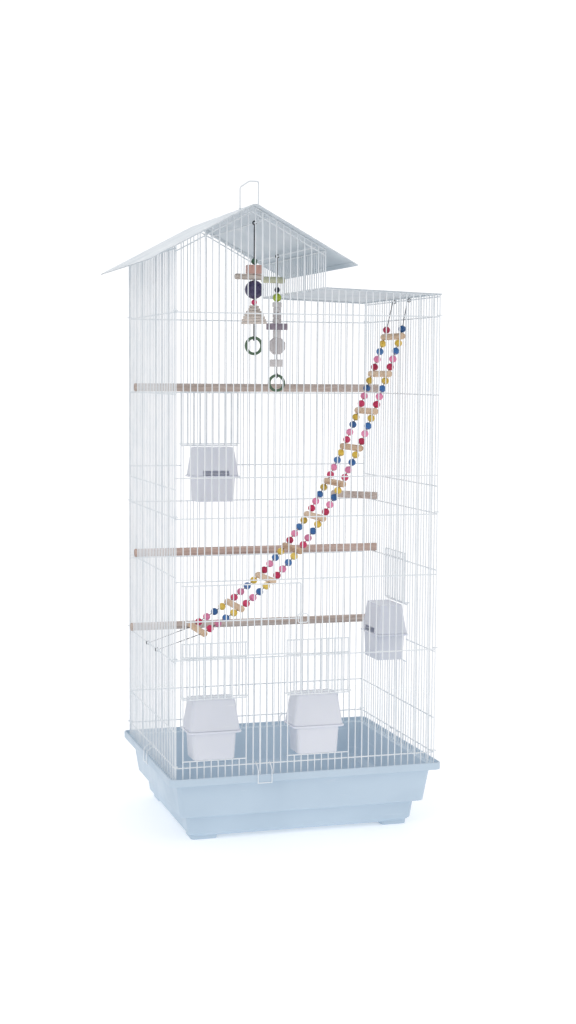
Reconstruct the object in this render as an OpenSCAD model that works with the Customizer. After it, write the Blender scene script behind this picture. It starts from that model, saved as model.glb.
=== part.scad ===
// Wire bird cage with a gabled tower, a deep tray, sliding feeders, perches, a bead ladder and two toys.
// Millimetres. X runs along the front, Y from front to back, Z up. The feet stand at Z = 0.

/* [Body] */
// Width of the wire body
body_w = 440; // [380:1:520]
// Depth of the wire body
body_d = 360; // [320:1:420]
// Number of gaps between uprights along the front
front_gaps = 38; // [38:1:44]
// Number of gaps between uprights along a side
side_gaps = 30; // [28:2:36]
// Number of gaps that the tower covers
tower_gaps = 21; // [20:1:23]
// Radius of the upright wires
wire_r = 0.9; // [0.8:0.05:1.1]
// Thickness of the level wires
bar = 2; // [1.8:0.1:2.4]
// Radius of the thick upright in the front
post_r = 1.4; // [1.2:0.1:1.6]
// Place of the thick upright, counted in gaps from the left
post_at = 12; // [11:1:14]
// Clearance between pieces
fit = 0.3; // [0.2:0.05:0.4]

/* [Levels] */
// Height of the lowest level wire of all panels
level_bottom = 128; // [126:1:132]
// Height of the level wire under the main door
level_door = 301; // [298:1:304]
// Height of the level wire over the main door
level_head = 426; // [420:1:430]
// Height of the level wire at mid height, front and back
level_mid = 526; // [520:1:530]
// Height of the next level wire, front and back
level_high = 590; // [585:1:600]
// Height of the back level wire that the back feeder door hooks on
level_hook = 720; // [718:1:724]
// Height of the top level wire of all panels
level_top = 849; // [840:1:855]
// Height of the second level wire at the sides and the back
level_second = 186; // [182:1:190]
// Height of the side level wire that carries the low perch
level_perch_low = 297; // [292:1:300]
// Height of the side level wire that carries the middle perch
level_perch_mid = 433; // [430:1:438]
// Height of the side level wire that carries the corner perch
level_perch_corner = 527; // [524:1:532]
// Height of the side level wire between the perches
level_side_high = 572; // [566:1:578]
// Height of the side level wire that carries the top perch
level_perch_top = 721.5; // [716:0.5:728]

/* [Roofs] */
// Height of the flat roof's outer edge over the top level wire
flat_rise = 36.6; // [32:0.1:42]
// Rise of the flat roof from its outer edge to the tower
flat_fall = 6; // [3:0.1:10]
// Height of the pitched roof's ridge over the flat roof's tower edge
ridge_rise = 127.4; // [110:0.1:145]
// Fall of the pitched roof for each millimetre out
roof_slope = 0.5366; // [0.48:0.01:0.58]
// Overhang of the pitched roof at its eaves
eave = 48; // [40:1:56]
// Overhang of the pitched roof at front and back
verge = 22; // [18:1:28]
// Thickness of the roof sheets
sheet = 0.8; // [0.6:0.1:1.2]
// Overhang of the flat roof past the wire
flat_over = 3; // [2.6:0.1:5]

/* [Handle] */
// Radius of the handle wire
handle_r = 1.2; // [1:0.1:1.5]
// Half the spread of the handle's legs
handle_half = 15; // [13:1:20]
// Height of the handle's top above the ridge
handle_rise = 37; // [30:1:44]
// Drop of the handle's left shoulder
handle_slant = 10; // [6:1:14]
// Distance of the handle behind the front wires
handle_back = 15; // [10:1:20]
// Rise of the handle when the cage is lifted
handle_lift = 8; // [6:1:10]

/* [Tray] */
// Overhang of the tray's rim past the wire
rim_over = 11; // [10:0.5:13]
// Height of the rim's top
rim_top = 112; // [111:0.5:114]
// Depth of the rim's outer lip
rim_deep = 12; // [10:0.5:14]
// Height of the ledge that the wire panels stand on
ledge_h = 106; // [105:0.1:106]
// Wall of the tray
tray_wall = 2.5; // [2:0.1:3]
// Inset of the upper band's top, from the wire
band_in = 3; // [2:0.5:4]
// Draft of the upper band, over its height
band_draft = 8; // [6:0.5:10]
// Height of the step between the two bands
step_h = 44; // [40:1:50]
// Width of the step between the two bands
step_in = 13; // [10:0.5:15]
// Draft of the lower band
low_draft = 3.5; // [2:0.5:5]
// Height where the lower band turns to the bottom
turn_h = 12; // [10:0.5:16]
// Width of the slope under the lower band
turn_in = 6.5; // [5:0.5:8]
// Height of the feet
foot_h = 6; // [5:0.5:8]
// Length of a foot's side
foot_l = 44; // [36:1:50]
// Corner radius of the rim
rim_corner = 10; // [8:1:14]
// Thickness of the tray's floor
floor_t = 3; // [2.5:0.1:4]

/* [Clips] */
// Radius of the clip wire
clip_r = 0.8; // [0.7:0.05:0.9]
// Reach of a clip's hook under the rim
clip_reach = 1.6; // [1.4:0.1:1.8]

/* [Main door] */
// Number of gaps that the main door spans
door_gaps = 17; // [15:1:17]
// Thickness of the main door's frame
door_bar = 2.2; // [2:0.1:2.4]
// Gap between the main door's frame and its opening
door_play = 3.5; // [3:0.1:4.5]

/* [Feeders] */
// Width of the feeder's flange
flange_w = 88; // [80:1:90]
// Depth of the feeder's flange
flange_d = 60; // [50:1:64]
// Thickness of the feeder's flange
flange_t = 3; // [2:0.1:4]
// Height of the feeder cup
cup_h = 46; // [40:1:50]
// Height of the feeder hood
hood_h = 49.7; // [44:0.1:50]
// Wall of the feeder
cup_wall = 1.6; // [1.2:0.1:2]
// Width of the slot in the hood, on the birds' side
hood_slot_w = 48; // [40:1:56]
// Height of the slot in the hood
hood_slot_h = 9; // [7:0.5:12]
// Reach of the feeder in front of the wire
feeder_out = 7; // [5:1:9]
// Room over a feeder in its opening
feeder_room = 1.1; // [1:0.1:2]
// Height of the front feeders' sill
front_sill = 138; // [136:1:142]
// Height of the side feeder's sill
side_sill = 258; // [254:1:262]
// Number of gaps that a feeder opening spans at the front and back
feeder_gaps = 9; // [9:1:10]
// Place of the right front feeder, counted in gaps from the left
feeder_b_at = 16; // [15:1:17]
// Place of the back feeder, counted in gaps from the left
feeder_c_at = 8; // [7:1:9]
// Height of a small feeder door
slide_h = 90; // [88:1:92]

/* [Perches] */
// Radius of the long perches
perch_r = 7; // [6:0.25:7.5]
// Radius of the corner perch
corner_perch_r = 6.5; // [6:0.25:7]
// Place of the top, middle and corner perches, in side gaps behind the cage's middle
perch_gap_a = 10; // [9:1:11]
// Place of the low perch, in side gaps behind the cage's middle
perch_gap_b = 13; // [12:1:13]
// Reach of the corner perch along the back, in gaps
corner_gaps = 5; // [4:1:6]

/* [Ladder] */
// Number of rungs
rungs = 10; // [8:1:11]
// Radius of a rung
rung_r = 5.5; // [5:0.25:6]
// Length of a rung
rung_l = 96; // [90:1:104]
// Distance of a bead row from the rungs' ends
rung_end = 9; // [8:0.5:12]
// Radius of a bead
bead_r = 6.5; // [6:0.1:6.6]
// Radius of the ladder's core wires
core_r = 0.7; // [0.6:0.05:0.8]
// Number of beads between two rungs
beads = 4; // [3:1:4]

/* [Toys] */
// Radius of the toys' wires
toy_wire_r = 1.2; // [1:0.05:1.4]
// Gap between two pieces on a toy's stem
toy_gap = 0.5; // [0.4:0.1:0.8]
// Length of the left toy's stem
toy_a_len = 180.4; // [172:0.1:190]
// Bare lower end of the left toy's stem
toy_a_tail = 18.3; // [16:0.1:22]
// Number of slats in the left toy
slats = 7; // [6:1:8]
// Length of the longest slat
slat_l = 44; // [38:1:46]
// Thickness of a slat
slat_t = 3.8; // [3.4:0.1:4.2]
// Radius of the left toy's ball
ball_r = 15.2; // [14:0.1:16.5]
// Length of the left toy's stick
stick_a_l = 49; // [44:1:54]
// Length of the right toy's stem
toy_b_len = 199; // [192:1:210]
// Bare lower end of the right toy's stem
toy_b_tail = 11; // [9:0.1:14]
// Radius of the right toy's eight-sided block, to its corners
octagon_r = 15.6; // [14:0.1:17]
// Length of the right toy's stick
stick_b_l = 42; // [38:1:46]
// Radius of the toys' rings, to the middle of the rod
toy_ring_r = 13; // [11:0.5:14]
// Radius of the rings' rod
toy_rod_r = 2.4; // [2:0.1:2.8]

/* [Hidden] */
$fn = 48;

front_levels = [level_bottom, level_door, level_head, level_mid, level_high, level_top];
back_levels = [level_bottom, level_second, level_door, level_head, level_mid, level_high,
               level_hook, level_top];
side_levels = [level_bottom, level_second, level_perch_low, level_perch_mid, level_perch_corner,
               level_side_high, level_perch_top, level_top];

// Colours
wire_white = [0.93, 0.94, 0.95];
roof_grey = [0.78, 0.83, 0.87];
tray_blue = [0.70, 0.78, 0.86];
cup_white = [0.88, 0.87, 0.91];
wood_tan = [0.80, 0.71, 0.64];
hook_grey = [0.45, 0.47, 0.50];

// Pitches of the uprights, and the plane of the uprights outside a panel's level wires
weld = 0.25;
upright_y = -(bar / 2 + wire_r - weld);
front_pitch = body_w / front_gaps;
side_half = body_d / 2 - bar / 2 - fit - wire_r;
side_pitch = 2 * side_half / side_gaps;
function front_x(i) = -body_w / 2 + i * front_pitch;
function side_y(j) = j * side_pitch;

// Tower and roofs
tower_x = front_x(tower_gaps);
ridge_x = (tower_x - body_w / 2) / 2;
tower_half = (tower_x + body_w / 2) / 2;
roof_half = tower_half + eave;
roof_tilt = atan(roof_slope);
roof_t = sheet / cos(roof_tilt);
wire_out = wire_r - upright_y;
flat_low = level_top + flat_rise;
flat_high = flat_low + flat_fall;
ridge_h = flat_high + ridge_rise;
function roof_under(x) = ridge_h - roof_t - roof_slope * abs(x - ridge_x);
function flat_under(x) = flat_high + (flat_low - flat_high) * (x - tower_x) / (body_w / 2 - tower_x);
wall_top = roof_under(tower_x + wire_out) - fit;

// The model stands with the middle of its box over the origin
left_reach = body_w / 2 + eave;
right_reach = body_w / 2 + rim_over + fit + 2 * clip_r;
mid_x = (left_reach - right_reach) / 2;
module placed() translate([mid_x, 0, 0]) children();

// The four faces of the body: each is drawn with x along the face, z up and -y outwards
module on_front() placed() translate([0, -body_d / 2, 0]) children();
module on_back() placed() translate([0, body_d / 2, 0]) rotate([0, 0, 180]) children();
module on_right() placed() translate([body_w / 2, 0, 0]) rotate([0, 0, 90]) children();
module on_left() placed() translate([-body_w / 2, 0, 0]) rotate([0, 0, -90]) children();

// Openings of the panels: [low edge, high edge, sill, head] on the face
feeder_lift = bar / 2 + fit;
feeder_rise = feeder_lift + cup_h + fit + hood_h + feeder_room + bar / 2;
function feeder_hole(u0, u1, sill) = [u0, u1, sill, sill + feeder_rise];
hole_a = feeder_hole(front_x(1), front_x(1 + feeder_gaps), front_sill);
hole_b = feeder_hole(front_x(feeder_b_at), front_x(feeder_b_at + feeder_gaps), front_sill);
hole_c = feeder_hole(-front_x(feeder_c_at + feeder_gaps), -front_x(feeder_c_at), level_mid);
hole_d = feeder_hole(side_y(-4), side_y(4), side_sill);
hole_door = [front_x(1), front_x(1 + door_gaps), level_door, level_head];

// A square level wire from u0 to u1 at height z
module level(u0, u1, z, y = 0, s = bar) translate([u0, y - s / 2, z - s / 2]) cube([u1 - u0, s, s]);

// A round upright at u from z0 to z1
module upright(u, z0, z1, r = wire_r, y = upright_y) translate([u, y, z0]) cylinder(r = r, h = z1 - z0);

// A wire ring that lies flat round an upright
module flat_ring(u, y, z, big, small) translate([u, y, z])
  rotate_extrude() translate([big, 0]) circle(r = small);

// A straight rod between two points
module rod(a, b, r) {
  v = b - a;
  l = norm(v);
  translate(a) rotate([0, acos(v[2] / l), atan2(v[1], v[0])]) cylinder(r = r, h = l);
}

// A bent wire through a list of points
module wire(points, r) {
  for (i = [0 : len(points) - 2]) rod(points[i], points[i + 1], r);
  for (p = points) translate(p) sphere(r = r + 0.05);
}

// Uprights of a panel from its foot to their own tops, cut at the openings
panel_foot = ledge_h + fit;
function thick(x) = abs(x - front_x(post_at)) < 0.1 ? post_r : wire_r;

module uprights(us, tops, holes, radii) for (i = [0 : len(us) - 1]) {
  cuts = [for (h = holes) if (us[i] > h[0] + 0.1 && us[i] < h[1] - 0.1) h];
  starts = concat([panel_foot], [for (h = cuts) h[3] - bar / 2]);
  ends = concat([for (h = cuts) h[2] + bar / 2], [tops[i]]);
  for (k = [0 : len(starts) - 1]) upright(us[i], starts[k], ends[k], radii[i]);
}

// Level wires of a panel, cut at the openings
module levels(half, zs, holes) for (z = zs) {
  cuts = [for (h = holes) if (z > h[2] + bar && z < h[3] - bar) h];
  starts = concat([-half], [for (h = cuts) h[1] - wire_r]);
  ends = concat([for (h = cuts) h[0] + wire_r], [half]);
  for (k = [0 : len(starts) - 1]) level(starts[k], ends[k], z);
}

// A level wire along one edge of an opening
module edge_wire(hole, z) level(hole[0] - wire_r, hole[1] + wire_r, z);

// A plate of half sizes a and b with round corners
module plate(a, b, r, z, h) translate([0, 0, z]) linear_extrude(h) {
  square([2 * (a - r), 2 * b], center = true);
  square([2 * a, 2 * (b - r)], center = true);
  for (x = [-1, 1]) for (y = [-1, 1]) translate([x * (a - r), y * (b - r)]) circle(r = r, $fn = 32);
}

// A drafted block between two round-cornered outlines
skin = 0.01;
module drafted(a0, b0, a1, b1, z0, z1, r) hull() {
  plate(a0, b0, r, z0, skin);
  plate(a1, b1, r, z1 - skin, skin);
}

// Tray: each outline is given by its half width, and its half depth is smaller by one amount
narrower = (body_w - body_d) / 2;
rim_a = body_w / 2 + rim_over;
band_top_a = body_w / 2 - band_in;
band_low_a = band_top_a - band_draft;
low_top_a = band_low_a - step_in;
low_bottom_a = low_top_a - low_draft;
base_a = low_bottom_a - turn_in;
step_rise = 4;
step_in_z = step_h - step_rise + tray_wall;
band_r = 9;
inner_band_r = band_r - tray_wall;
floor_in = 0.5;
foot_r = 6;
module band(a0, a1, z0, z1, r) drafted(a0, a0 - narrower, a1, a1 - narrower, z0, z1, r);

module base_tray() color(tray_blue) placed() difference() {
  union() {
    plate(rim_a, rim_a - narrower, rim_corner, rim_top - rim_deep, rim_deep);
    band(band_low_a, band_top_a, step_h, rim_top - rim_deep + 1, band_r);
    band(low_top_a, band_low_a, step_h - step_rise, step_h, band_r);
    band(low_bottom_a, low_top_a, turn_h, step_h - step_rise, band_r);
    band(base_a, low_bottom_a, foot_h, turn_h, band_r);
    for (x = [-1, 1]) for (y = [-1, 1])
      translate([x * (base_a - foot_l / 2), y * (base_a - narrower - foot_l / 2), 0])
        plate(foot_l / 2, foot_l / 2, foot_r, 0, foot_h + 1);
  }
  plate(rim_a - tray_wall, rim_a - tray_wall - narrower, rim_corner - tray_wall, ledge_h, rim_deep);
  band(band_low_a - tray_wall, band_top_a - tray_wall, step_h + tray_wall, ledge_h + 1, inner_band_r);
  band(low_top_a - tray_wall, band_low_a - tray_wall, step_in_z, step_h + tray_wall + skin, inner_band_r);
  band(base_a - floor_in, low_top_a - tray_wall, foot_h + floor_t, step_in_z + skin, inner_band_r);
}

// Tray clip: two eyes on the lowest level wire, two arms over the rim, and a hook under its lip
clip_eye = bar / 2 * sqrt(2) + fit + clip_r;
clip_y = -(rim_over + fit + clip_r);
clip_bend = 8;
clip_hook_z = rim_top - rim_deep - clip_r - 3 * fit;

module clip(u, half) translate([u, 0, 0]) {
  for (s = [-1, 1]) {
    translate([s * half, 0, level_bottom]) rotate([0, 90, 0])
      rotate_extrude() translate([clip_eye, 0]) circle(r = clip_r);
    wire([[s * half, -clip_eye, level_bottom], [s * half, clip_y, level_bottom - clip_bend],
          [s * half, clip_y, clip_hook_z], [s * half, clip_y + clip_reach, clip_hook_z]], clip_r);
  }
  rod([-half, clip_y + clip_reach, clip_hook_z], [half, clip_y + clip_reach, clip_hook_z], clip_r);
}

module clip_front() color(wire_white) on_front() clip(front_x(post_at + 0.5), front_pitch);
module clip_back() color(wire_white) on_back() clip(front_x(post_at + 0.5), front_pitch);
module clip_left() color(wire_white) on_left() clip(side_y(0.5), side_pitch);
module clip_right() color(wire_white) on_right() clip(side_y(0.5), side_pitch);

// Front and back panels: their uprights run up into the gable over the tower
gable_gap = bar / 2 + fit;
gable_drop = 9;
front_half = body_w / 2 + wire_r;
front_us = [for (i = [0 : front_gaps]) front_x(i)];
function front_top(x) = x < tower_x + 0.1 ? roof_under(x) - gable_gap : flat_under(x) - bar;

// The level wire that carries the flat roof's edge
module flat_rail() {
  tilt = atan((flat_high - flat_low) / (body_w / 2 - tower_x));
  translate([tower_x, -bar / 2, flat_high - bar - fit]) rotate([0, tilt, 0])
    cube([(body_w / 2 - tower_x) / cos(tilt), bar, bar]);
}

// The sloped wires of the gable, the upper one just under the sheet
module gable_wires() for (drop = [gable_gap, gable_gap + gable_drop]) for (m = [0, 1])
  translate([ridge_x, 0, roof_under(ridge_x) - drop]) mirror([m, 0, 0]) rotate([0, roof_tilt, 0])
    translate([-0.4, -bar / 2, -bar / 2]) cube([tower_half / cos(roof_tilt) + 0.4, bar, bar]);

module front_panel() color(wire_white) on_front() {
  holes = [hole_a, hole_b, hole_door];
  uprights(front_us, [for (x = front_us) front_top(x)], holes, [for (x = front_us) thick(x)]);
  levels(front_half, front_levels, holes);
  for (hole = [hole_a, hole_b]) for (z = [hole[2], hole[3]]) edge_wire(hole, z);
  flat_rail();
  gable_wires();
}

module back_panel() color(wire_white) placed() translate([0, body_d / 2, 0]) mirror([0, 1, 0]) {
  hole = [-hole_c[1], -hole_c[0], hole_c[2], hole_c[3]];
  uprights(front_us, [for (x = front_us) front_top(x)], [hole], [for (x = front_us) wire_r]);
  levels(front_half, back_levels, [hole]);
  edge_wire(hole, hole[3]);
  flat_rail();
  gable_wires();
}

// Side panels
side_us = [for (j = [0 : side_gaps]) side_y(j - side_gaps / 2)];
side_radii = [for (u = side_us) wire_r];
right_top = flat_under(body_w / 2 + wire_out) - fit;
top_drop = 2 * bar;

module side_panel(top, holes) {
  uprights(side_us, [for (u = side_us) top], holes, side_radii);
  levels(side_half + wire_r, concat(side_levels, [top - top_drop]), holes);
  for (hole = holes) for (z = [hole[2], hole[3]]) edge_wire(hole, z);
}

module left_panel() color(wire_white) on_left() side_panel(wall_top, []);
module right_panel() color(wire_white) on_right() side_panel(right_top, [hole_d]);

// The tower's right wall, above the flat roof
wall_foot = flat_high - bar;
module tower_wall() color(wire_white) placed() translate([tower_x, 0, 0]) rotate([0, 0, 90]) {
  for (u = side_us) upright(u, wall_foot, wall_top);
  for (z = [wall_foot + bar, wall_top - bar]) level(-side_half - wire_r, side_half + wire_r, z);
}

// Two rails under the right slope: they lie on the gables' lower sloped wires, and the toys hang on them
rail_r = 1.2;
rail_gaps = [12.7, 19.5];
rail_end = body_d / 2 + bar / 2;
rail_drop = gable_gap + gable_drop - (bar / 2 + fit + rail_r) / cos(roof_tilt);
function rail_x(n) = front_x(rail_gaps[n]);
function rail_z(n) = roof_under(rail_x(n)) - rail_drop;

module roof_rails() color(wire_white) placed() for (n = [0, 1])
  translate([rail_x(n), rail_end, rail_z(n)]) rotate([90, 0, 0]) cylinder(r = rail_r, h = 2 * rail_end);

// Rings that hold the panels' corner uprights together, just above the level wires
ring_r = 0.7;
corner_x = body_w / 2 - upright_y / 2;
corner_y = (side_half + body_d / 2 - upright_y) / 2;
corner_ring = norm([upright_y, body_d / 2 - upright_y - side_half]) / 2 + wire_r + fit + ring_r;
ring_lift = bar / 2 + fit + ring_r;

module corner_rings() color(wire_white) placed()
  for (x = [-1, 1]) for (y = [-1, 1]) for (z = [level_bottom, level_door, level_perch_corner, level_top])
    flat_ring(x * corner_x, y * corner_y, z + ring_lift + 0.5, corner_ring, ring_r);

// Pitched roof: one folded sheet with two holes for the handle
handle_y = -body_d / 2 + handle_back;
roof_y = body_d / 2 + verge;
roof_fall = roof_half * roof_slope;

module pitched_roof() color(roof_grey) placed() difference() {
  translate([ridge_x, roof_y, ridge_h]) rotate([90, 0, 0]) linear_extrude(2 * roof_y)
    polygon([[0, 0], [roof_half, -roof_fall], [roof_half, -roof_fall - roof_t],
             [0, -roof_t], [-roof_half, -roof_fall - roof_t], [-roof_half, -roof_fall]]);
  for (s = [-1, 1]) translate([ridge_x + s * handle_half, handle_y, ridge_h - roof_fall])
    cylinder(r = handle_r + fit, h = roof_fall + 1);
}

// Flat roof: a sheet from the tower wall over the right part of the body
module flat_roof() color(roof_grey) placed() {
  x0 = tower_x + wire_out + fit;
  x1 = body_w / 2 + flat_over;
  half_y = body_d / 2 + flat_over;
  z0 = flat_under(x0);
  z1 = flat_under(x1);
  translate([0, half_y, 0]) rotate([90, 0, 0]) linear_extrude(2 * half_y)
    polygon([[x0, z0], [x1, z1], [x1, z1 + sheet], [x0, z0 + sheet]]);
}

// Handle: a wire loop through the ridge, with stops pressed on its legs and turned-out feet inside
stop_r = 2.4;
stop_t = 1.2;
foot_out = 6;

module handle() color(wire_white) placed() translate([ridge_x, handle_y, 0]) {
  stop_z = ridge_h - roof_slope * (handle_half - stop_r) + fit;
  low = roof_under(ridge_x + handle_half + foot_out) - handle_lift - 2 * handle_r;
  top = ridge_h + handle_rise;
  out = handle_half + foot_out;
  right_leg = [[out, 0, low], [handle_half, 0, low], [handle_half, 0, top], [0, 0, top]];
  left_leg = [[-handle_half, 0, top - handle_slant], [-handle_half, 0, low], [-out, 0, low]];
  wire(concat(right_leg, left_leg), handle_r);
  for (s = [-1, 1]) translate([s * handle_half, 0, stop_z]) cylinder(r = stop_r, h = stop_t);
}

// Main door, outside the panel and hung by two rings on the opening's left upright
hinge_r = 0.7;
hinge_ring = wire_r + fit + hinge_r;
door_y = upright_y - wire_r - 0.75 - door_bar / 2;
door_u0 = hole_door[0] + door_play;
door_u1 = hole_door[1] - door_play;
door_z0 = hole_door[2] + 5;
door_z1 = hole_door[3] - 6;
door_z = (door_z0 + door_z1) / 2;

module main_door() color(wire_white) on_front() {
  for (z = [door_z0, door_z, door_z1]) level(hole_door[0] - 0.5, door_u1 + door_bar / 2, z, door_y, door_bar);
  for (u = [door_u0, door_u1]) translate([u - door_bar / 2, door_y - door_bar / 2, door_z0])
    cube([door_bar, door_bar, door_z1 - door_z0]);
  for (i = [2 : door_gaps]) let (r = thick(front_x(i)))
    upright(front_x(i), door_z0 - 0.6, door_z1 + 0.6, r, door_y - door_bar / 2 - r + weld);
}

// The door's hinge rings, each let into the back of the door's wire where it is welded on
module door_hinges() color(wire_white) on_front() for (z = [door_z0, door_z1]) difference() {
  flat_ring(hole_door[0], upright_y, z, hinge_ring, hinge_r);
  level(hole_door[0] - 0.5, door_u1, z, door_y, door_bar);
}

// Finger loop on the door's free edge: its spring tongue reaches past the opening's right upright
latch_r = 0.9;
latch_in = 4.5;
latch_out = 8;
latch_h = 14;

module door_latch() color(wire_white) on_front() {
  y = door_y - door_bar / 2 - latch_r - fit / 3;
  u0 = door_u1 - latch_in;
  u1 = hole_door[1] + latch_out;
  wire([[u0, y, door_z + latch_h / 2], [u1, y, door_z + latch_h / 2], [u1, y, door_z - latch_h / 2],
        [u0, y, door_z - latch_h / 2], [u0, y, door_z + latch_h / 2]], latch_r);
}

// A small door that slides up inside the panel, guided by rings on the opening's two edge uprights
slide_y = bar + 2 * fit;
slide_ring_r = 0.7;
slide_ring = slide_y - upright_y - 0.2;
hook_r = 0.8;
hook_over = bar / 2 + fit + hook_r;
hook_y = -(bar / 2 + fit + hook_r);

module slide_door(hole, pitch, top, rail, hooks) {
  z0 = hole[3] + bar;
  z1 = max(top, rail + hook_over + bar / 2);
  hook_z = rail + hook_over;
  for (z = z1 - hook_z > 2 * bar ? [z0 + bar / 2, hook_z, z1 - bar / 2] : [z0 + bar / 2, hook_z])
    level(hole[0] - 1.5, hole[1] + 1.5, z, slide_y);
  for (i = [0 : round((hole[1] - hole[0]) / pitch)])
    upright(hole[0] + i * pitch, z0 + 0.4, z1 - 0.4, wire_r, slide_y + bar / 2 + wire_r - weld);
  for (u = [hole[0], hole[1]]) flat_ring(u, upright_y, z0 + bar / 2, slide_ring, slide_ring_r);
  for (k = hooks) let (u = hole[0] + (k + 0.5) * pitch)
    wire([[u, slide_y, hook_z], [u, hook_y, hook_z], [u, hook_y, hook_z - 4]], hook_r);
}

module slide_door_a() color(wire_white) on_front()
  slide_door(hole_a, front_pitch, hole_a[3] + slide_h, level_door, [1, 4, 7]);
module slide_door_b() color(wire_white) on_front()
  slide_door(hole_b, front_pitch, hole_b[3] + slide_h, level_door, [1, 4, 7]);
module slide_door_c() color(wire_white) on_back()
  slide_door(hole_c, front_pitch, hole_c[3] + slide_h, level_hook, [1, 4, 7]);
module slide_door_d() color(wire_white) on_right()
  slide_door(hole_d, side_pitch, hole_d[3] + slide_h, level_perch_mid, [1, 3, 6]);

// Feeder: an open drafted cup under a flange, and a drafted hood over it with a low slot on the birds' side
feeder_y = flange_d / 2 - feeder_out;
cup_inset = 8;
cup_taper = 2;
hood_inset = 2;
hood_taper = 7;
corner_r = 6;
inner_r = corner_r - cup_wall;

module at_feeder(hole, z)
  translate([(hole[0] + hole[1]) / 2, feeder_y, hole[2] + feeder_lift + z]) children();

module cup(hole) at_feeder(hole, 0) difference() {
  a1 = flange_w / 2 - cup_inset;
  b1 = flange_d / 2 - cup_inset / 2;
  a0 = a1 - cup_taper;
  b0 = b1 - cup_taper;
  union() {
    drafted(a0, b0, a1, b1, 0, cup_h, corner_r);
    plate(flange_w / 2, flange_d / 2, corner_r, cup_h - flange_t, flange_t);
  }
  drafted(a0 - cup_wall, b0 - cup_wall, a1 - cup_wall, b1 - cup_wall, cup_wall, cup_h + skin, inner_r);
}

module hood(hole) at_feeder(hole, cup_h + fit) difference() {
  a0 = flange_w / 2 - hood_inset;
  b0 = flange_d / 2 - hood_inset;
  a1 = a0 - hood_taper;
  b1 = b0 - hood_taper;
  drafted(a0, b0, a1, b1, 0, hood_h, corner_r);
  drafted(a0 - cup_wall, b0 - cup_wall, a1 - cup_wall, b1 - cup_wall, -skin, hood_h - cup_wall, inner_r);
  translate([-hood_slot_w / 2, 0, -skin]) cube([hood_slot_w, flange_d, hood_slot_h + skin]);
}

module cup_a() color(cup_white) on_front() cup(hole_a);
module cup_b() color(cup_white) on_front() cup(hole_b);
module cup_c() color(cup_white) on_back() cup(hole_c);
module cup_d() color(cup_white) on_right() cup(hole_d);
module hood_a() color(cup_white) on_front() hood(hole_a);
module hood_b() color(cup_white) on_front() hood(hole_b);
module hood_c() color(cup_white) on_back() hood(hole_c);
module hood_d() color(cup_white) on_right() hood(hole_d);

// A perch between two uprights: it lies on level wires, and a slot in each end straddles the upright
notch = 4.5;
notch_past = 2;

module perch(a, b, r, z) color(wood_tan) placed() {
  v = b - a;
  l = norm(v) + 2 * (wire_r + notch_past);
  translate([(a[0] + b[0]) / 2, (a[1] + b[1]) / 2, z + bar / 2 + fit + r]) rotate([0, 0, atan2(v[1], v[0])])
    difference() {
      rotate([0, 90, 0]) cylinder(r = r, h = l, center = true);
      for (s = [-1, 1]) translate([s * l / 2, 0, 0])
        cube([2 * (wire_r + notch_past + notch) - bar, 2 * (wire_r + fit), 3 * r], center = true);
    }
}

side_wire_x = body_w / 2 - upright_y;
back_wire_y = body_d / 2 - upright_y;
function side_point(s, j) = [s * side_wire_x, side_y(j)];
module long_perch(j, z) perch(side_point(-1, j), side_point(1, j), perch_r, z);
module perch_top() long_perch(perch_gap_a, level_perch_top);
module perch_middle() long_perch(perch_gap_a, level_perch_mid);
module perch_low() long_perch(perch_gap_b, level_perch_low);
module corner_perch() perch([front_x(front_gaps - corner_gaps), back_wire_y], side_point(1, perch_gap_a),
                            corner_perch_r, level_perch_corner);

// Bead ladder: it sags along a curve with four guide points in the plane of x and z
ladder_y = side_y(-0.6);
ladder_half = rung_l / 2 - rung_end;
ladder_top = [204, 820];
ladder_pull_high = [136, 627];
ladder_pull_low = [65, 430];
ladder_low = [-142, 322];
ladder_start = [body_w / 2, right_top - top_drop];
ladder_finish = [-body_w / 2, level_perch_low];
hook_gaps = [-3.5, 2.5];
eye_r = bar / 2 * sqrt(2) + fit + core_r + 0.1;
function ladder_at(t) = (1 - t) ^ 3 * ladder_top + 3 * t * (1 - t) ^ 2 * ladder_pull_high
                      + 3 * t ^ 2 * (1 - t) * ladder_pull_low + t ^ 3 * ladder_low;
function rung_at(k) = ladder_at(k / (rungs - 1));
function lift(p, y) = [p[0], y, p[1]];
function row_y(s) = ladder_y + (2 * s - 1) * ladder_half;
start_link = ladder_start + [-eye_r, 0];
finish_link = ladder_finish + [eye_r, 0];
path = concat([start_link], [for (k = [0 : rungs - 1]) rung_at(k)], [finish_link]);

module ladder_eye(p, y) translate(lift(p, y)) rotate([90, 0, 0])
  rotate_extrude() translate([eye_r, 0]) circle(r = core_r + 0.1);

module ladder_wires() color(hook_grey) placed() for (s = [0, 1]) {
  hook = side_y(hook_gaps[s]);
  points = [for (k = [1 : rungs]) lift(path[k], row_y(s))];
  wire(concat([lift(start_link, hook)], points, [lift(finish_link, hook)]), core_r);
  ladder_eye(ladder_start, hook);
  ladder_eye(ladder_finish, hook);
}

module ladder_rungs() color(wood_tan) placed() for (k = [0 : rungs - 1]) {
  along = path[k + 2] - path[k];
  translate(lift(path[k + 1], ladder_y)) difference() {
    rotate([90, 0, 0]) cylinder(r = rung_r, h = rung_l, center = true);
    for (s = [-1, 1]) translate([0, s * ladder_half, 0]) rotate([0, atan2(along[0], along[1]), 0])
      cylinder(r = core_r + 3 * fit, h = 4 * rung_r, center = true);
  }
}

// A bead on the stretch from a to b, m along it from a
module bead(a, b, m) {
  v = (b - a) / norm(b - a);
  translate(a + m * v) rotate([0, acos(v[2]), atan2(v[1], v[0])]) difference() {
    sphere(r = bead_r);
    cylinder(r = core_r + fit, h = 3 * bead_r, center = true);
  }
}

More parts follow.
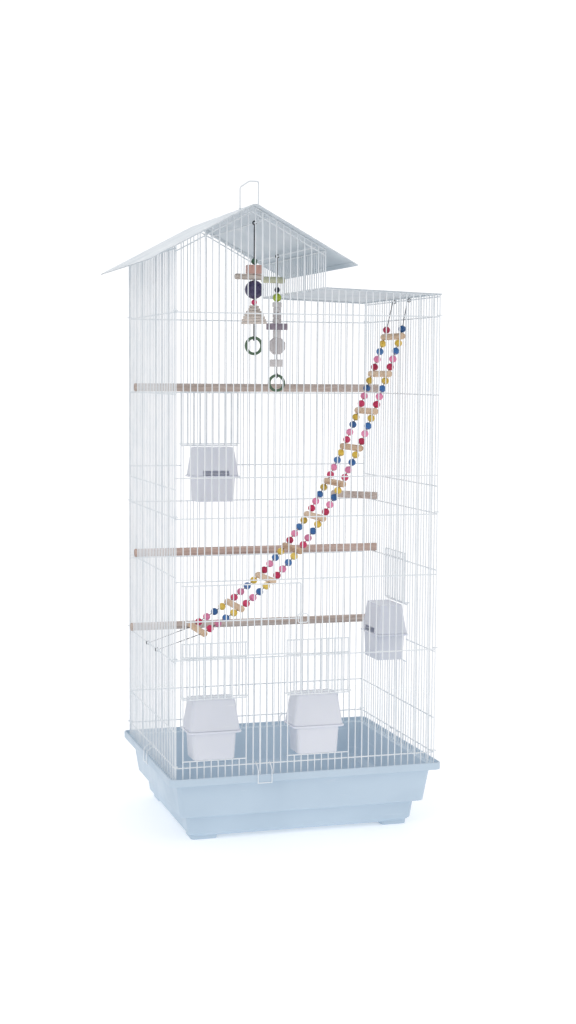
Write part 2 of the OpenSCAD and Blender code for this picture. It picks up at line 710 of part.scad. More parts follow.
// The beads of one colour: the same colours follow each other down from every rung, and one bead sits
// over the top rung in each row
module bead_row(tone) placed() for (s = [0, 1]) {
  for (k = [0 : rungs - 2]) if (tone < beads) {
    a = lift(rung_at(k), row_y(s));
    b = lift(rung_at(k + 1), row_y(s));
    room = (norm(b - a) - 2 * rung_r) / beads;
    bead(a, b, rung_r + (tone + 0.5) * room);
  }
  if (tone == 2 * s + 1)
    bead(lift(rung_at(0), row_y(s)), lift(start_link, side_y(hook_gaps[s])), rung_r + bead_r + 2 * fit);
}

module beads_yellow() color([0.92, 0.82, 0.35]) bead_row(0);
module beads_blue() color([0.20, 0.42, 0.72]) bead_row(1);
module beads_pink() color([0.93, 0.55, 0.68]) bead_row(2);
module beads_crimson() color([0.75, 0.10, 0.28]) bead_row(3);

// Toys: each hangs on a rail by an eye, and its pieces are stacked up from the stem's bare lower end
toy_eye = rail_r + fit + toy_wire_r;
small_eye = toy_rod_r + fit + toy_wire_r;
toy_y = [-105, 30];
module at_toy(n) placed() translate([rail_x(n), toy_y[n], rail_z(n)]) children();

// Pieces of the left toy that have one size for each
slat_w = 10;
slat_step = 4.2;
slat_turn = 14;
spacer_r = 4.7;
stick_a_r = 4.7;
block_a = [26, 13, 14];
bead_a_r = 5.2;

// Pieces of the right toy, and the bare stretches of its stem
foot_block = [23, 9, 12.4];
bare_low = 7.8;
octagon_t = 7;
neck_block = [12, 11, 12];
cross_block = [36, 10, 11];
cube_block = [13, 11, 8.5];
cubes = 4;
bead_b_low_r = 7.5;
bead_b_high_r = 5;
bare_high = 5.2;
stick_b_r = 5.5;

// Heights of the pieces on each stem, from the lowest to the highest
toy_len = [toy_a_len, toy_b_len];
toy_tail = [toy_a_tail, toy_b_tail];
toy_stack = [
  concat([for (i = [1 : slats]) slat_t],
         [2 * spacer_r, 2 * ball_r, 2 * stick_a_r, block_a[2], 2 * bead_a_r]),
  concat([foot_block[2], bare_low, 2 * octagon_r * cos(22.5), neck_block[2], cross_block[2]],
         [for (i = [1 : cubes]) cube_block[2]],
         [2 * bead_b_low_r, 2 * bead_b_high_r, bare_high, 2 * stick_b_r])
];
function below(stack, k) = k == 0 ? 0 : stack[k - 1] + toy_gap + below(stack, k - 1);

// The stem, with an eye round the rail and a small eye that carries the ring
module toy_stem(l) color(hook_grey) {
  rotate([90, 0, 0]) rotate_extrude() translate([toy_eye, 0]) circle(r = toy_wire_r);
  rod([0, 0, -toy_eye], [0, 0, -l], toy_wire_r);
  translate([0, 0, -l - small_eye]) rotate([0, 90, 0])
    rotate_extrude() translate([small_eye, 0]) circle(r = toy_wire_r);
}

// Piece k of toy n, bored and threaded on its stem
module threaded(n, k) translate([0, 0, toy_tail[n] + below(toy_stack[n], k) + toy_stack[n][k] / 2 - toy_len[n]])
  difference() {
    children();
    cylinder(r = toy_wire_r + fit, h = toy_len[n], center = true);
  }
module block(size, turn = 0) rotate([0, 0, turn]) cube(size, center = true);
module stick(r, l, side) rotate([0, 0, 10]) translate([side, 0, 0]) rotate([0, 90, 0])
  cylinder(r = r, h = l, center = true);

module toy_a_wire() at_toy(0) toy_stem(toy_a_len);
module toy_a_wood() color(wood_tan) at_toy(0) {
  for (i = [0 : slats - 1])
    threaded(0, i) block([slat_l - slat_step * i, slat_w, slat_t], slat_turn * (i - (slats - 1) / 2));
  threaded(0, slats + 2) stick(stick_a_r, stick_a_l, -9);
  threaded(0, slats + 3) block(block_a);
}
module toy_a_beads() color([0.35, 0.22, 0.50]) at_toy(0) {
  threaded(0, slats) sphere(r = spacer_r);
  threaded(0, slats + 1) sphere(r = ball_r);
  threaded(0, slats + 4) sphere(r = bead_a_r);
}

module toy_b_wire() at_toy(1) toy_stem(toy_b_len);
module toy_b_wood() color(wood_tan) at_toy(1) {
  threaded(1, 0) block(foot_block);
  threaded(1, 2) rotate([90, 22.5, 0]) cylinder(r = octagon_r, h = octagon_t, center = true, $fn = 8);
  threaded(1, 3) block(neck_block);
  threaded(1, 4) block(cross_block);
  for (i = [0 : cubes - 1]) threaded(1, 5 + i) block(cube_block, 45 * i);
  threaded(1, cubes + 8) stick(stick_b_r, stick_b_l, -8);
}
module toy_b_beads() color([0.62, 0.75, 0.20]) at_toy(1) {
  threaded(1, cubes + 5) sphere(r = bead_b_low_r);
  threaded(1, cubes + 6) sphere(r = bead_b_high_r);
}

// The ring that hangs in the stem's small eye
module toy_ring(l) translate([0, 0, -l - 2 * small_eye + toy_wire_r + fit + toy_rod_r - toy_ring_r])
  rotate([90, 0, 0]) rotate_extrude() translate([toy_ring_r, 0]) circle(r = toy_rod_r);
module toy_a_ring() color([0.45, 0.50, 0.25]) at_toy(0) toy_ring(toy_a_len);
module toy_b_ring() color([0.55, 0.60, 0.45]) at_toy(1) toy_ring(toy_b_len);

base_tray();
clip_front();
clip_back();
clip_left();
clip_right();
front_panel();
back_panel();
left_panel();
right_panel();
tower_wall();
roof_rails();
corner_rings();
pitched_roof();
flat_roof();
handle();
main_door();
door_hinges();
door_latch();
slide_door_a();
slide_door_b();
slide_door_c();
slide_door_d();
cup_a();
cup_b();
cup_c();
cup_d();
hood_a();
hood_b();
hood_c();
hood_d();
perch_top();
perch_middle();
perch_low();
corner_perch();
ladder_wires();
ladder_rungs();
beads_crimson();
beads_blue();
beads_yellow();
beads_pink();
toy_a_wire();
toy_a_wood();
toy_a_beads();
toy_a_ring();
toy_b_wire();
toy_b_wood();
toy_b_beads();
toy_b_ring();
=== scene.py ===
"""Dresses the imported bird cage: round welded wires, sheet roofs, a moulded tray, feeders, perches, a bead
ladder and two hanging toys.

Sizes are millimetres in the cage's own frame: X along the front, Y to the back, Z up, with x = 0 in the
middle of the wire body. Workshop.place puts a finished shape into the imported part's frame, in metres.
"""
import logging
from collections.abc import Callable, Sequence
from dataclasses import dataclass, field
from enum import Enum

import bpy
import numpy as np
from mathutils import Matrix, Vector


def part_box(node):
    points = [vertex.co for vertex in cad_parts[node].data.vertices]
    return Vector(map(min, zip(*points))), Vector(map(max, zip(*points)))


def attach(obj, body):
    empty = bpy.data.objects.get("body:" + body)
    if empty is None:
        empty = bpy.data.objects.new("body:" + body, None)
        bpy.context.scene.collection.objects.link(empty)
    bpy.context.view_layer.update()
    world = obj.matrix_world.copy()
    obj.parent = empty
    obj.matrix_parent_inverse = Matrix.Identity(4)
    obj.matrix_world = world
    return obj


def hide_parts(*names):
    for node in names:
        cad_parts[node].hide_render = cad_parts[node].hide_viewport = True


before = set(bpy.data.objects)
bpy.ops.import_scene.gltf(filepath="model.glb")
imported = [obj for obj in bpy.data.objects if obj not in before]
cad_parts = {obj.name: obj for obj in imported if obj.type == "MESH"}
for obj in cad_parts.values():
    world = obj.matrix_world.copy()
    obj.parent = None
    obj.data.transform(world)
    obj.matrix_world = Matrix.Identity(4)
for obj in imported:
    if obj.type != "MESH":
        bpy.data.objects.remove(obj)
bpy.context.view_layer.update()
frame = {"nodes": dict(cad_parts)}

LOG = logging.getLogger("bird_cage")
MM = 0.001
CHAMFER = 0.4  # how much of a wire's radius is taken off at a cut end
CORNER_SHARE = 0.45  # how much of a side an eased corner may take
CREASE = 40.0  # degrees between two faces, past which their edge stays sharp
NEAR = 0.1  # two places closer than this are the same
BITE = 0.25  # how far two welded wires sink into each other
WELD = (1.25, 0.75, 1.3)  # half sizes of the drop of metal at a weld
Array = np.ndarray
Point = Sequence[float]
Socket = bpy.types.NodeSocket


# Shapes: each is a stack of closed rings, worked out as whole arrays


def outlines(half_x: Array, half_y: Array, corner: Array, steps: int = 4) -> Array:
    """Rounded rectangles: a quarter circle of the corner radius about each corner's centre, anticlockwise.

    Args:
        half_x: Half widths, one for each rectangle.
        half_y: Half depths.
        corner: Corner radii.
        steps: Steps in a quarter circle.

    Returns:
        Points in the shape (rectangles, 4 * (steps + 1), 2).
    """
    angle = (np.arange(4)[:, None] * np.pi / 2 + np.linspace(0, np.pi / 2, steps + 1)).ravel()
    sign_x = np.repeat([1, -1, -1, 1], steps + 1)
    sign_y = np.repeat([1, 1, -1, -1], steps + 1)
    a, b, r = (np.asarray(v, float).reshape(-1, 1) for v in (half_x, half_y, corner))
    return np.stack([sign_x * (a - r) + r * np.cos(angle), sign_y * (b - r) + r * np.sin(angle)], -1)


def stacked(profile: Array, steps: int = 4) -> Array:
    """Rounded rectangles one over the other, each with its half sizes, its corner radius and its height.

    Args:
        profile: Rows of (half width, half depth, corner radius, height).
        steps: Steps in a quarter circle.

    Returns:
        Rings in the shape (rows, sides, 3).
    """
    profile = np.asarray(profile, float)
    flat = outlines(profile[:, 0], profile[:, 1], profile[:, 2], steps)
    height = np.broadcast_to(profile[:, 3, None, None], flat.shape[:2] + (1,))
    return np.concatenate([flat, height], -1)


def turned(profile: Array, sides: int = 16) -> Array:
    """A shape turned about Z: each (radius, height) of the profile becomes the circle of that radius.

    Args:
        profile: Rows of (radius, height).
        sides: Points in a circle.

    Returns:
        Rings in the shape (rows, sides, 3).
    """
    profile = np.asarray(profile, float)
    angle = np.arange(sides) * 2 * np.pi / sides
    wheel = np.stack([np.cos(angle), np.sin(angle), np.zeros(sides)], -1)
    return profile[:, 0, None, None] * wheel + profile[:, 1, None, None] * np.array([0, 0, 1.0])


def aimed(points: Array, axis: Point, place: Point = (0, 0, 0)) -> Array:
    """Points made about Z, turned so that Z lies along the axis, and moved to the place."""
    turn = np.array(Vector(axis).to_track_quat("Z", "Y").to_matrix())
    return points @ turn.T + np.asarray(place, float)


def spun(points: Array, degrees: float, place: Point = (0, 0, 0)) -> Array:
    """Points turned about Z by an angle, and moved to the place."""
    c, s = np.cos(np.radians(degrees)), np.sin(np.radians(degrees))
    return points @ np.array([[c, s, 0], [-s, c, 0], [0, 0, 1.0]]) + np.asarray(place, float)


def eased(points: Array, radius: float, steps: int = 4, loop: bool = False) -> Array:
    """A line of points with its corners eased.

    Each corner becomes the quadratic curve between a point before it and one after it, at most the radius
    away and never past CORNER_SHARE of a side.

    Args:
        points: The corners, in the shape (corners, any number of coordinates).
        radius: How far from the corner the curve starts.
        steps: Steps in each curve.
        loop: The line is closed.

    Returns:
        The eased line, in the shape (points, coordinates).
    """
    points = np.asarray(points, float)
    corner = points if loop else points[1:-1]
    before = (np.roll(points, 1, 0) if loop else points[:-2]) - corner
    after = (np.roll(points, -1, 0) if loop else points[2:]) - corner
    long_before = np.linalg.norm(before, axis=1, keepdims=True)
    long_after = np.linalg.norm(after, axis=1, keepdims=True)
    p = corner + before / long_before * np.minimum(radius, CORNER_SHARE * long_before)
    q = corner + after / long_after * np.minimum(radius, CORNER_SHARE * long_after)
    t = np.linspace(0, 1, steps + 1)[None, :, None]
    curve = (1 - t) ** 2 * p[:, None] + 2 * t * (1 - t) * corner[:, None] + t**2 * q[:, None]
    curve = curve.reshape(-1, points.shape[1])
    return curve if loop else np.concatenate([points[:1], curve, points[-1:]])


def carried(path: Array, radius: float, sides: int = 10, loop: bool = False) -> Array:
    """A wire: a circle carried along a path, with a small chamfer at a cut end.

    At each station the circle stands square to the mean direction there, and its first point is the last
    station's, moved without turning.

    Args:
        path: Stations in the shape (stations, 3).
        radius: Radius of the wire.
        sides: Points in the circle.
        loop: The path is closed.

    Returns:
        Rings in the shape (stations, sides, 3).
    """
    path = np.asarray(path, float)
    girth = np.full(len(path), radius)
    if not loop:
        first, last = path[1] - path[0], path[-1] - path[-2]
        cut = CHAMFER * radius
        near = path[:1] + first / np.linalg.norm(first) * cut
        far = path[-1:] - last / np.linalg.norm(last) * cut
        path = np.concatenate([path[:1], near, path[1:-1], far, path[-1:]])
        end = [(1 - CHAMFER) * radius]
        girth = np.concatenate([end, np.full(len(path) - 2, radius), end])
    step = np.roll(path, -1, 0) - path if loop else np.diff(path, axis=0)
    step = step / np.linalg.norm(step, axis=1, keepdims=True)
    if loop:
        ahead, behind = step, np.roll(step, 1, 0)
    else:
        ahead, behind = np.concatenate([step, step[-1:]]), np.concatenate([step[:1], step])
    tangent = ahead + behind
    tangent /= np.linalg.norm(tangent, axis=1, keepdims=True)
    across = np.cross(tangent[0], np.eye(3)[np.argmin(np.abs(tangent[0]))])
    side = np.zeros(path.shape)
    for station, direction in enumerate(tangent):
        across = across - across.dot(direction) * direction
        across = across / np.linalg.norm(across)
        side[station] = across
    up = np.cross(tangent, side)
    angle = (np.arange(sides) * 2 * np.pi / sides)[None, :, None]
    circle = np.cos(angle) * side[:, None] + np.sin(angle) * up[:, None]
    return path[:, None] + girth[:, None, None] * circle


def rods(starts: Array, ends: Array, radii: Array | float, sides: int = 8) -> Array:
    """Straight round wires between pairs of points, each a cylinder with a small chamfer at both cut ends.

    Args:
        starts: First ends, in the shape (rods, 3).
        ends: Second ends.
        radii: Radius of all rods, or one for each.
        sides: Points in the circle.

    Returns:
        Rings in the shape (rods, 4, sides, 3).
    """
    starts, ends = np.atleast_2d(np.asarray(starts, float)), np.atleast_2d(np.asarray(ends, float))
    axis = ends - starts
    length = np.linalg.norm(axis, axis=1, keepdims=True)
    axis = axis / length
    helper = np.where(np.abs(axis[:, 2:]) > 0.7, [[1.0, 0, 0]], [[0, 0, 1.0]])
    side = np.cross(axis, helper)
    side /= np.linalg.norm(side, axis=1, keepdims=True)
    up = np.cross(axis, side)
    radius = np.broadcast_to(np.asarray(radii, float).reshape(-1, 1), length.shape)
    cut = CHAMFER * radius
    along = np.stack([0 * radius, cut, length - cut, length], 1)
    girth = radius[:, None] * np.array([1 - CHAMFER, 1, 1, 1 - CHAMFER])[None, :, None]
    angle = np.arange(sides) * 2 * np.pi / sides
    circle = np.cos(angle)[None, :, None] * side[:, None] + np.sin(angle)[None, :, None] * up[:, None]
    return starts[:, None, None] + along[..., None] * axis[:, None, None] + girth[..., None] * circle[:, None]


def standing(x: Array, y: Array | float, low: Array | float, high: Array | float,
             radii: Array | float) -> Array:
    """Upright round wires at places in x and y, from their low ends to their high ends."""
    x, y, low, high = np.broadcast_arrays(np.asarray(x, float), y, low, high)
    return rods(np.stack([x, y, low], -1), np.stack([x, y, high], -1), radii)


def lying(left: Array | float, right: Array | float, y: float, z: Array | float, radius: float,
          sides: int = 8) -> Array:
    """Level round wires from left to right at a depth, one for each height."""
    left, right, y, z = np.broadcast_arrays(np.asarray(left, float), right, y, z)
    return rods(np.stack([left, y, z], -1), np.stack([right, y, z], -1), radius, sides)


def hoops(centres: Array, axis: Point, big: float, small: float, around: int = 24, sides: int = 8) -> Array:
    """Round rings: a small circle carried round a big one that stands square to the axis.

    Args:
        centres: Middles of the rings, in the shape (rings, 3).
        axis: Direction of the rings' holes.
        big: Radius to the middle of the rod.
        small: Radius of the rod.
        around: Stations on the big circle.
        sides: Points in the small circle.

    Returns:
        Rings in the shape (rings, around, sides, 3), to be wrapped.
    """
    turn = np.arange(around) * 2 * np.pi / around
    outward = np.stack([np.cos(turn), np.sin(turn), 0 * turn], -1)[:, None]
    angle = (np.arange(sides) * 2 * np.pi / sides)[None, :, None]
    ring = big * outward + small * (np.cos(angle) * np.array([0, 0, 1.0]) + np.sin(angle) * outward)
    return aimed(ring, axis)[None] + np.atleast_2d(np.asarray(centres, float))[:, None, None]


def drops(centres: Array, radii: Point, sides: int = 6) -> Array:
    """Small flattened balls, such as the metal pressed out at a weld: circles at four latitudes, scaled.

    Args:
        centres: Middles, in the shape (drops, 3).
        radii: Half sizes in X, Y and Z.
        sides: Points in a circle.

    Returns:
        Rings in the shape (drops, 4, sides, 3).
    """
    latitude = np.radians([-62, -22, 22, 62])
    ball = turned(np.stack([np.cos(latitude), np.sin(latitude)], -1), sides) * np.asarray(radii, float)
    return ball[None] + np.atleast_2d(np.asarray(centres, float))[:, None, None]


def softened(half: float, edge: float, steps: int = 3) -> Array:
    """Insets and heights of a block's edge: a quarter circle of the edge radius at the bottom and the top.

    Args:
        half: Half height of the block.
        edge: Radius of the edge.
        steps: Steps in a quarter circle.

    Returns:
        Rows of (inset, height).
    """
    angle = np.linspace(0, np.pi / 2, steps + 1)
    low = np.stack([edge * (1 - np.sin(angle)), -half + edge * (1 - np.cos(angle))], -1)
    return np.concatenate([low, (low * [1, -1])[::-1]])


def block(size: Point, edge: float, corner: float | None = None) -> Array:
    """A block with rounded edges: rounded rectangles whose inset follows a quarter circle at both ends.

    Args:
        size: Width, depth and height.
        edge: Radius of the top and bottom edges.
        corner: Radius of the upright edges, the same as the others unless it is given.

    Returns:
        Rings in the shape (rows, sides, 3), about the middle.
    """
    inset, height = softened(size[2] / 2, edge).T
    corner = edge if corner is None else corner
    radius = np.maximum(corner - inset, 0.3 * edge)
    return stacked(np.stack([size[0] / 2 - inset, size[1] / 2 - inset, radius, height], -1), 3)


def dowel(radius: float, length: float, edge: float, sides: int = 20) -> Array:
    """A turned rod about Z with rounded end edges."""
    inset, height = softened(length / 2, edge).T
    return turned(np.stack([radius - inset, height], -1), sides)


def threaded_ball(radius: float, hole: float, squash: float = 1.0, sides: int = 16) -> Array:
    """A bead with a hole along Z: the arc of a circle outside, rounded lips, and a straight hole inside.

    Args:
        radius: Radius of the bead.
        hole: Radius of the hole.
        squash: Height of the bead over its width.
        sides: Points in a circle.

    Returns:
        Rings in the shape (rows, sides, 3), to be wrapped.
    """
    lip = 0.1 * radius
    reach = np.arccos((hole + lip) / radius)
    arc = np.linspace(-reach, reach, 9)
    outside = np.stack([radius * np.cos(arc), radius * squash * np.sin(arc)], -1)
    mouth = outside[-1, 1] - lip / 2
    inside = np.array([[hole, mouth], [hole, -mouth]])
    return turned(np.concatenate([outside, inside]), sides)


class Skin:
    """Closed skins gathered into one mesh, with a tone for each skin and a wear value for each point."""

    def __init__(self) -> None:
        """Starts with nothing gathered."""
        self._points: list[Array] = []
        self._quads: list[Array] = []
        self._fans: list[Array] = []
        self._tones: list[Array] = []
        self._wear: list[Array] = []
        self._count = 0

    def _keep(self, points: Array, quads: Array, fans: Array, tone: Array | float,
              wear: Array | None) -> None:
        """Adds equal blocks of points, in the shape (blocks, points, 3), with the faces of one block."""
        blocks, size = points.shape[:2]
        shift = self._count + np.arange(blocks)[:, None, None] * size
        self._points.append(points.reshape(-1, 3))
        self._quads.append((quads[None] + shift).reshape(-1, 4))
        self._fans.append((fans[None] + shift).reshape(-1, 3))
        self._tones.append(np.repeat(np.broadcast_to(np.asarray(tone, float), (blocks,)), size))
        worn = np.zeros(size) if wear is None else wear
        self._wear.append(np.tile(worn, blocks))
        self._count += blocks * size

    def add(self, rings: Array, wrap: bool = False, tone: Array | float = 0.5,
            wear: Array | None = None) -> "Skin":
        """Adds skins of rings, closed by a fan at each end or wrapped from the last ring to the first.

        Args:
            rings: Points in the shape (skins, rings, sides, 3), or without the first axis for one skin. A
                ring runs anticlockwise, seen from the ring after it.
            wrap: Join the last ring to the first.
            tone: A number from 0 to 1 for all skins, or one for each, that varies their shade.
            wear: Wear of each ring, from 0 to 1.

        Returns:
            The skin itself.
        """
        rings = np.asarray(rings, float)
        rings = rings[None] if rings.ndim == 3 else rings
        skins, rows, sides = rings.shape[:3]
        index = np.arange(rows * sides).reshape(rows, sides)
        lower = index if wrap else index[:-1]
        upper = np.roll(index, -1, 0) if wrap else index[1:]
        quads = np.stack([lower, np.roll(lower, -1, 1), np.roll(upper, -1, 1), upper], -1).reshape(-1, 4)
        points = rings.reshape(skins, -1, 3)
        worn = None if wear is None else np.repeat(np.asarray(wear, float), sides)
        fans = np.zeros((0, 3), int)
        if not wrap:
            points = np.concatenate([points, rings[:, [0, -1]].mean(2)], 1)
            first, last = index[0], index[-1]
            start = np.stack([np.full(sides, rows * sides), np.roll(first, -1), first], -1)
            end = np.stack([np.full(sides, rows * sides + 1), last, np.roll(last, -1)], -1)
            fans = np.concatenate([start, end])
            worn = None if worn is None else np.concatenate([worn, [0.0, 0.0]])
        self._keep(points, quads, fans, tone, worn)
        return self

    def sheet(self, top: Array, thickness: float, wear: Array | None = None) -> "Skin":
        """Adds a thin sheet under a surface.

        Each point goes down along the surface's normal by the thickness, and four strips join the borders.

        Args:
            top: The upper surface, in the shape (rows, columns, 3), with its normal up where rows run along
                +Y and columns along +X.
            thickness: Thickness of the sheet.
            wear: Wear of each point, in the shape (rows, columns).

        Returns:
            The skin itself.
        """
        rows, columns = top.shape[:2]
        along = np.gradient(top, axis=1)
        over = np.gradient(top, axis=0)
        normal = np.cross(along, over)
        normal /= np.linalg.norm(normal, axis=-1, keepdims=True)
        points = np.concatenate([top.reshape(-1, 3), (top - thickness * normal).reshape(-1, 3)])
        upper = np.arange(rows * columns).reshape(rows, columns)
        lower = upper + rows * columns

        def cells(grid: Array) -> Array:
            """Quads of a grid, seen from above."""
            return np.stack([grid[:-1, :-1], grid[:-1, 1:], grid[1:, 1:], grid[1:, :-1]], -1).reshape(-1, 4)

        def strip(high: Array, low: Array) -> Array:
            """Quads that join a border of the upper surface to the lower one."""
            return np.stack([high[:-1], low[:-1], low[1:], high[1:]], -1)

        quads = np.concatenate([
            cells(upper), cells(lower)[:, ::-1],
            strip(upper[0], lower[0]), strip(upper[-1, ::-1], lower[-1, ::-1]),
            strip(upper[::-1, 0], lower[::-1, 0]), strip(upper[:, -1], lower[:, -1]),
        ])
        worn = None if wear is None else np.tile(wear.ravel(), 2)
        self._keep(points[None], quads, np.zeros((0, 3), int), 0.5, worn)
        return self

    def mesh(self, name: str, shift: Point) -> bpy.types.Mesh:
        """Makes the mesh, in metres.

        Args:
            name: Name of the mesh.
            shift: Where the cage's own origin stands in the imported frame, in metres.

        Returns:
            The new mesh, with the attributes tone and wear.
        """
        points = np.concatenate(self._points) * MM + np.asarray(shift, float)
        quads, fans = np.concatenate(self._quads), np.concatenate(self._fans)
        corners = np.concatenate([quads.ravel(), fans.ravel()]).astype(np.int32)
        counts = np.concatenate([np.full(len(quads), 4), np.full(len(fans), 3)])
        made = bpy.data.meshes.new(name)
        made.vertices.add(len(points))
        made.vertices.foreach_set("co", points.astype(np.float32).ravel())
        made.loops.add(len(corners))
        made.loops.foreach_set("vertex_index", corners)
        made.polygons.add(len(counts))
        made.polygons.foreach_set("loop_start", (np.cumsum(counts) - counts).astype(np.int32))
        made.polygons.foreach_set("use_smooth", np.ones(len(counts), bool))
        for label, values in (("tone", self._tones), ("wear", self._wear)):
            layer = made.attributes.new(label, "FLOAT", "POINT")
            layer.data.foreach_set("value", np.concatenate(values).astype(np.float32))
        made.update(calc_edges=True)
        made.validate()
        made.set_sharp_from_angle(angle=np.radians(CREASE))
        return made


def carved(body: bpy.types.Mesh, tool: bpy.types.Mesh) -> bpy.types.Mesh:
    """Takes the tool's volume out of a closed mesh, by an exact boolean.

    Args:
        body: The mesh to be carved.
        tool: The mesh that carves it.

    Returns:
        A new mesh; the two others are used up.
    """
    worked, cutter = (bpy.data.objects.new(m.name + "_work", m) for m in (body, tool))
    for thing in (worked, cutter):
        bpy.context.scene.collection.objects.link(thing)
    cut = worked.modifiers.new("carve", "BOOLEAN")
    cut.operation, cut.solver, cut.object = "DIFFERENCE", "EXACT", cutter
    graph = bpy.context.evaluated_depsgraph_get()
    result = bpy.data.meshes.new_from_object(worked.evaluated_get(graph))
    for thing in (worked, cutter):
        bpy.data.objects.remove(thing)
    result.set_sharp_from_angle(angle=np.radians(CREASE))
    return result


# Finishes


def linear(colour: Point) -> tuple[float, float, float, float]:
    """A colour out of 255, as a screen shows it, in the linear values that a shader takes."""
    value = np.asarray(colour, float) / 255
    curve = np.where(value <= 0.04045, value / 12.92, ((value + 0.055) / 1.055) ** 2.4)
    return (*curve.tolist(), 1.0)


class NodeBench:
    """Puts shader nodes on a new material and links them to its shader."""

    def __init__(self, name: str) -> None:
        """Makes the material and finds its shader and the object's own coordinates."""
        self.material = bpy.data.materials.new(name)
        self.material.use_nodes = True
        self.nodes = self.material.node_tree.nodes
        self.links = self.material.node_tree.links
        self.shader = self.nodes["Principled BSDF"]
        self.place = self.nodes.new("ShaderNodeTexCoord").outputs["Object"]

    def noise(self, scale: float, stretch: Point = (1, 1, 1), detail: float = 3, warp: float = 0) -> Socket:
        """Soft random patches.

        Args:
            scale: Patches in a metre, about.
            stretch: How much denser the patches are along X, Y and Z.
            detail: Finer layers.
            warp: How far the patches are bent.

        Returns:
            A value from 0 to 1.
        """
        spread = self.nodes.new("ShaderNodeMapping")
        spread.inputs["Scale"].default_value = stretch
        self.links.new(self.place, spread.inputs["Vector"])
        cloud = self.nodes.new("ShaderNodeTexNoise")
        cloud.inputs["Scale"].default_value = scale
        cloud.inputs["Detail"].default_value = detail
        cloud.inputs["Distortion"].default_value = warp
        self.links.new(spread.outputs["Vector"], cloud.inputs["Vector"])
        return cloud.outputs["Fac"]

    def layer(self, name: str) -> Socket:
        """The value of a mesh attribute."""
        reader = self.nodes.new("ShaderNodeAttribute")
        reader.attribute_name = name
        return reader.outputs["Fac"]

    def span(self, source: Socket, low: float, high: float, to: Point = (0, 1)) -> Socket:
        """A value between low and high, spread smoothly over another range."""
        node = self.nodes.new("ShaderNodeMapRange")
        node.interpolation_type = "SMOOTHSTEP"
        for label, value in zip(("From Min", "From Max", "To Min", "To Max"), (low, high, *to)):
            node.inputs[label].default_value = value
        self.links.new(source, node.inputs["Value"])
        return node.outputs["Result"]

    def roughness(self, source: Socket, gloss: Point) -> Socket:
        """A roughness between two values that follows the middle of a pattern's range."""
        return self.span(source, 0.3, 0.7, gloss)

    def sum(self, kind: str, first: Socket, second: Socket | float) -> Socket:
        """Two values added, multiplied or compared, as the kind says."""
        node = self.nodes.new("ShaderNodeMath")
        node.operation = kind
        self.links.new(first, node.inputs[0])
        if isinstance(second, (int, float)):
            node.inputs[1].default_value = second
        else:
            self.links.new(second, node.inputs[1])
        return node.outputs[0]

    def shades(self, source: Socket, stops: Sequence[tuple[float, Point]]) -> Socket:
        """Colours out of 255 along a value."""
        node = self.nodes.new("ShaderNodeValToRGB")
        ramp = node.color_ramp
        ramp.elements[0].position, ramp.elements[-1].position = stops[0][0], stops[-1][0]
        for place, _ in stops[1:-1]:
            ramp.elements.new(place)
        for element, (_, colour) in zip(ramp.elements, stops):
            element.color = linear(colour)
        self.links.new(source, node.inputs["Fac"])
        return node.outputs["Color"]

    def mixed(self, amount: Socket, base: Socket, over: Point, share: float) -> Socket:
        """A colour with another laid over it, by a share of an amount."""
        node = self.nodes.new("ShaderNodeMix")
        node.data_type = "RGBA"
        amount_in, first, second = (s for s in node.inputs if s.enabled)
        self.links.new(self.sum("MULTIPLY", amount, share), amount_in)
        self.links.new(base, first)
        second.default_value = linear(over)
        return next(s for s in node.outputs if s.enabled)

    def finish(self, colour: Socket, rough: Socket, height: Socket, depth: float,
               **uniform: float) -> bpy.types.Material:
        """Links the shader up.

        Args:
            colour: The base colour.
            rough: The roughness.
            height: The relief, from 0 to 1.
            depth: The relief's real depth, in metres.
            uniform: Other sockets of the shader that have one value all over.

        Returns:
            The finished material.
        """
        bump = self.nodes.new("ShaderNodeBump")
        bump.inputs["Distance"].default_value = depth
        self.links.new(height, bump.inputs["Height"])
        self.links.new(colour, self.shader.inputs["Base Color"])
        self.links.new(rough, self.shader.inputs["Roughness"])
        self.links.new(bump.outputs["Normal"], self.shader.inputs["Normal"])
        for label, value in uniform.items():
            self.shader.inputs[label.replace("_", " ")].default_value = value
        return self.material


@dataclass(frozen=True)
class PowderCoat:
    """White powder coat on wire: a fine orange peel, faint shade patches, and grey where it is rubbed."""

    name: str = "wire_powder_coat"
    slot: str = "wire_paint"
    light: Point = (243, 246, 248)
    shade: Point = (231, 237, 241)
    rubbed: Point = (186, 194, 200)

    def material(self) -> bpy.types.Material:
        """Returns: the material."""
        bench = NodeBench(self.name)
        colour = bench.shades(bench.noise(28, detail=4), [(0.35, self.shade), (0.65, self.light)])
        marks = bench.span(bench.noise(210, detail=5, warp=1.2), 0.70, 0.78)
        colour = bench.mixed(marks, colour, self.rubbed, 0.55)
        rough = bench.roughness(bench.noise(60), (0.30, 0.46))
        return bench.finish(colour, rough, bench.noise(1400, detail=2), 0.00004, Specular_IOR_Level=0.5)


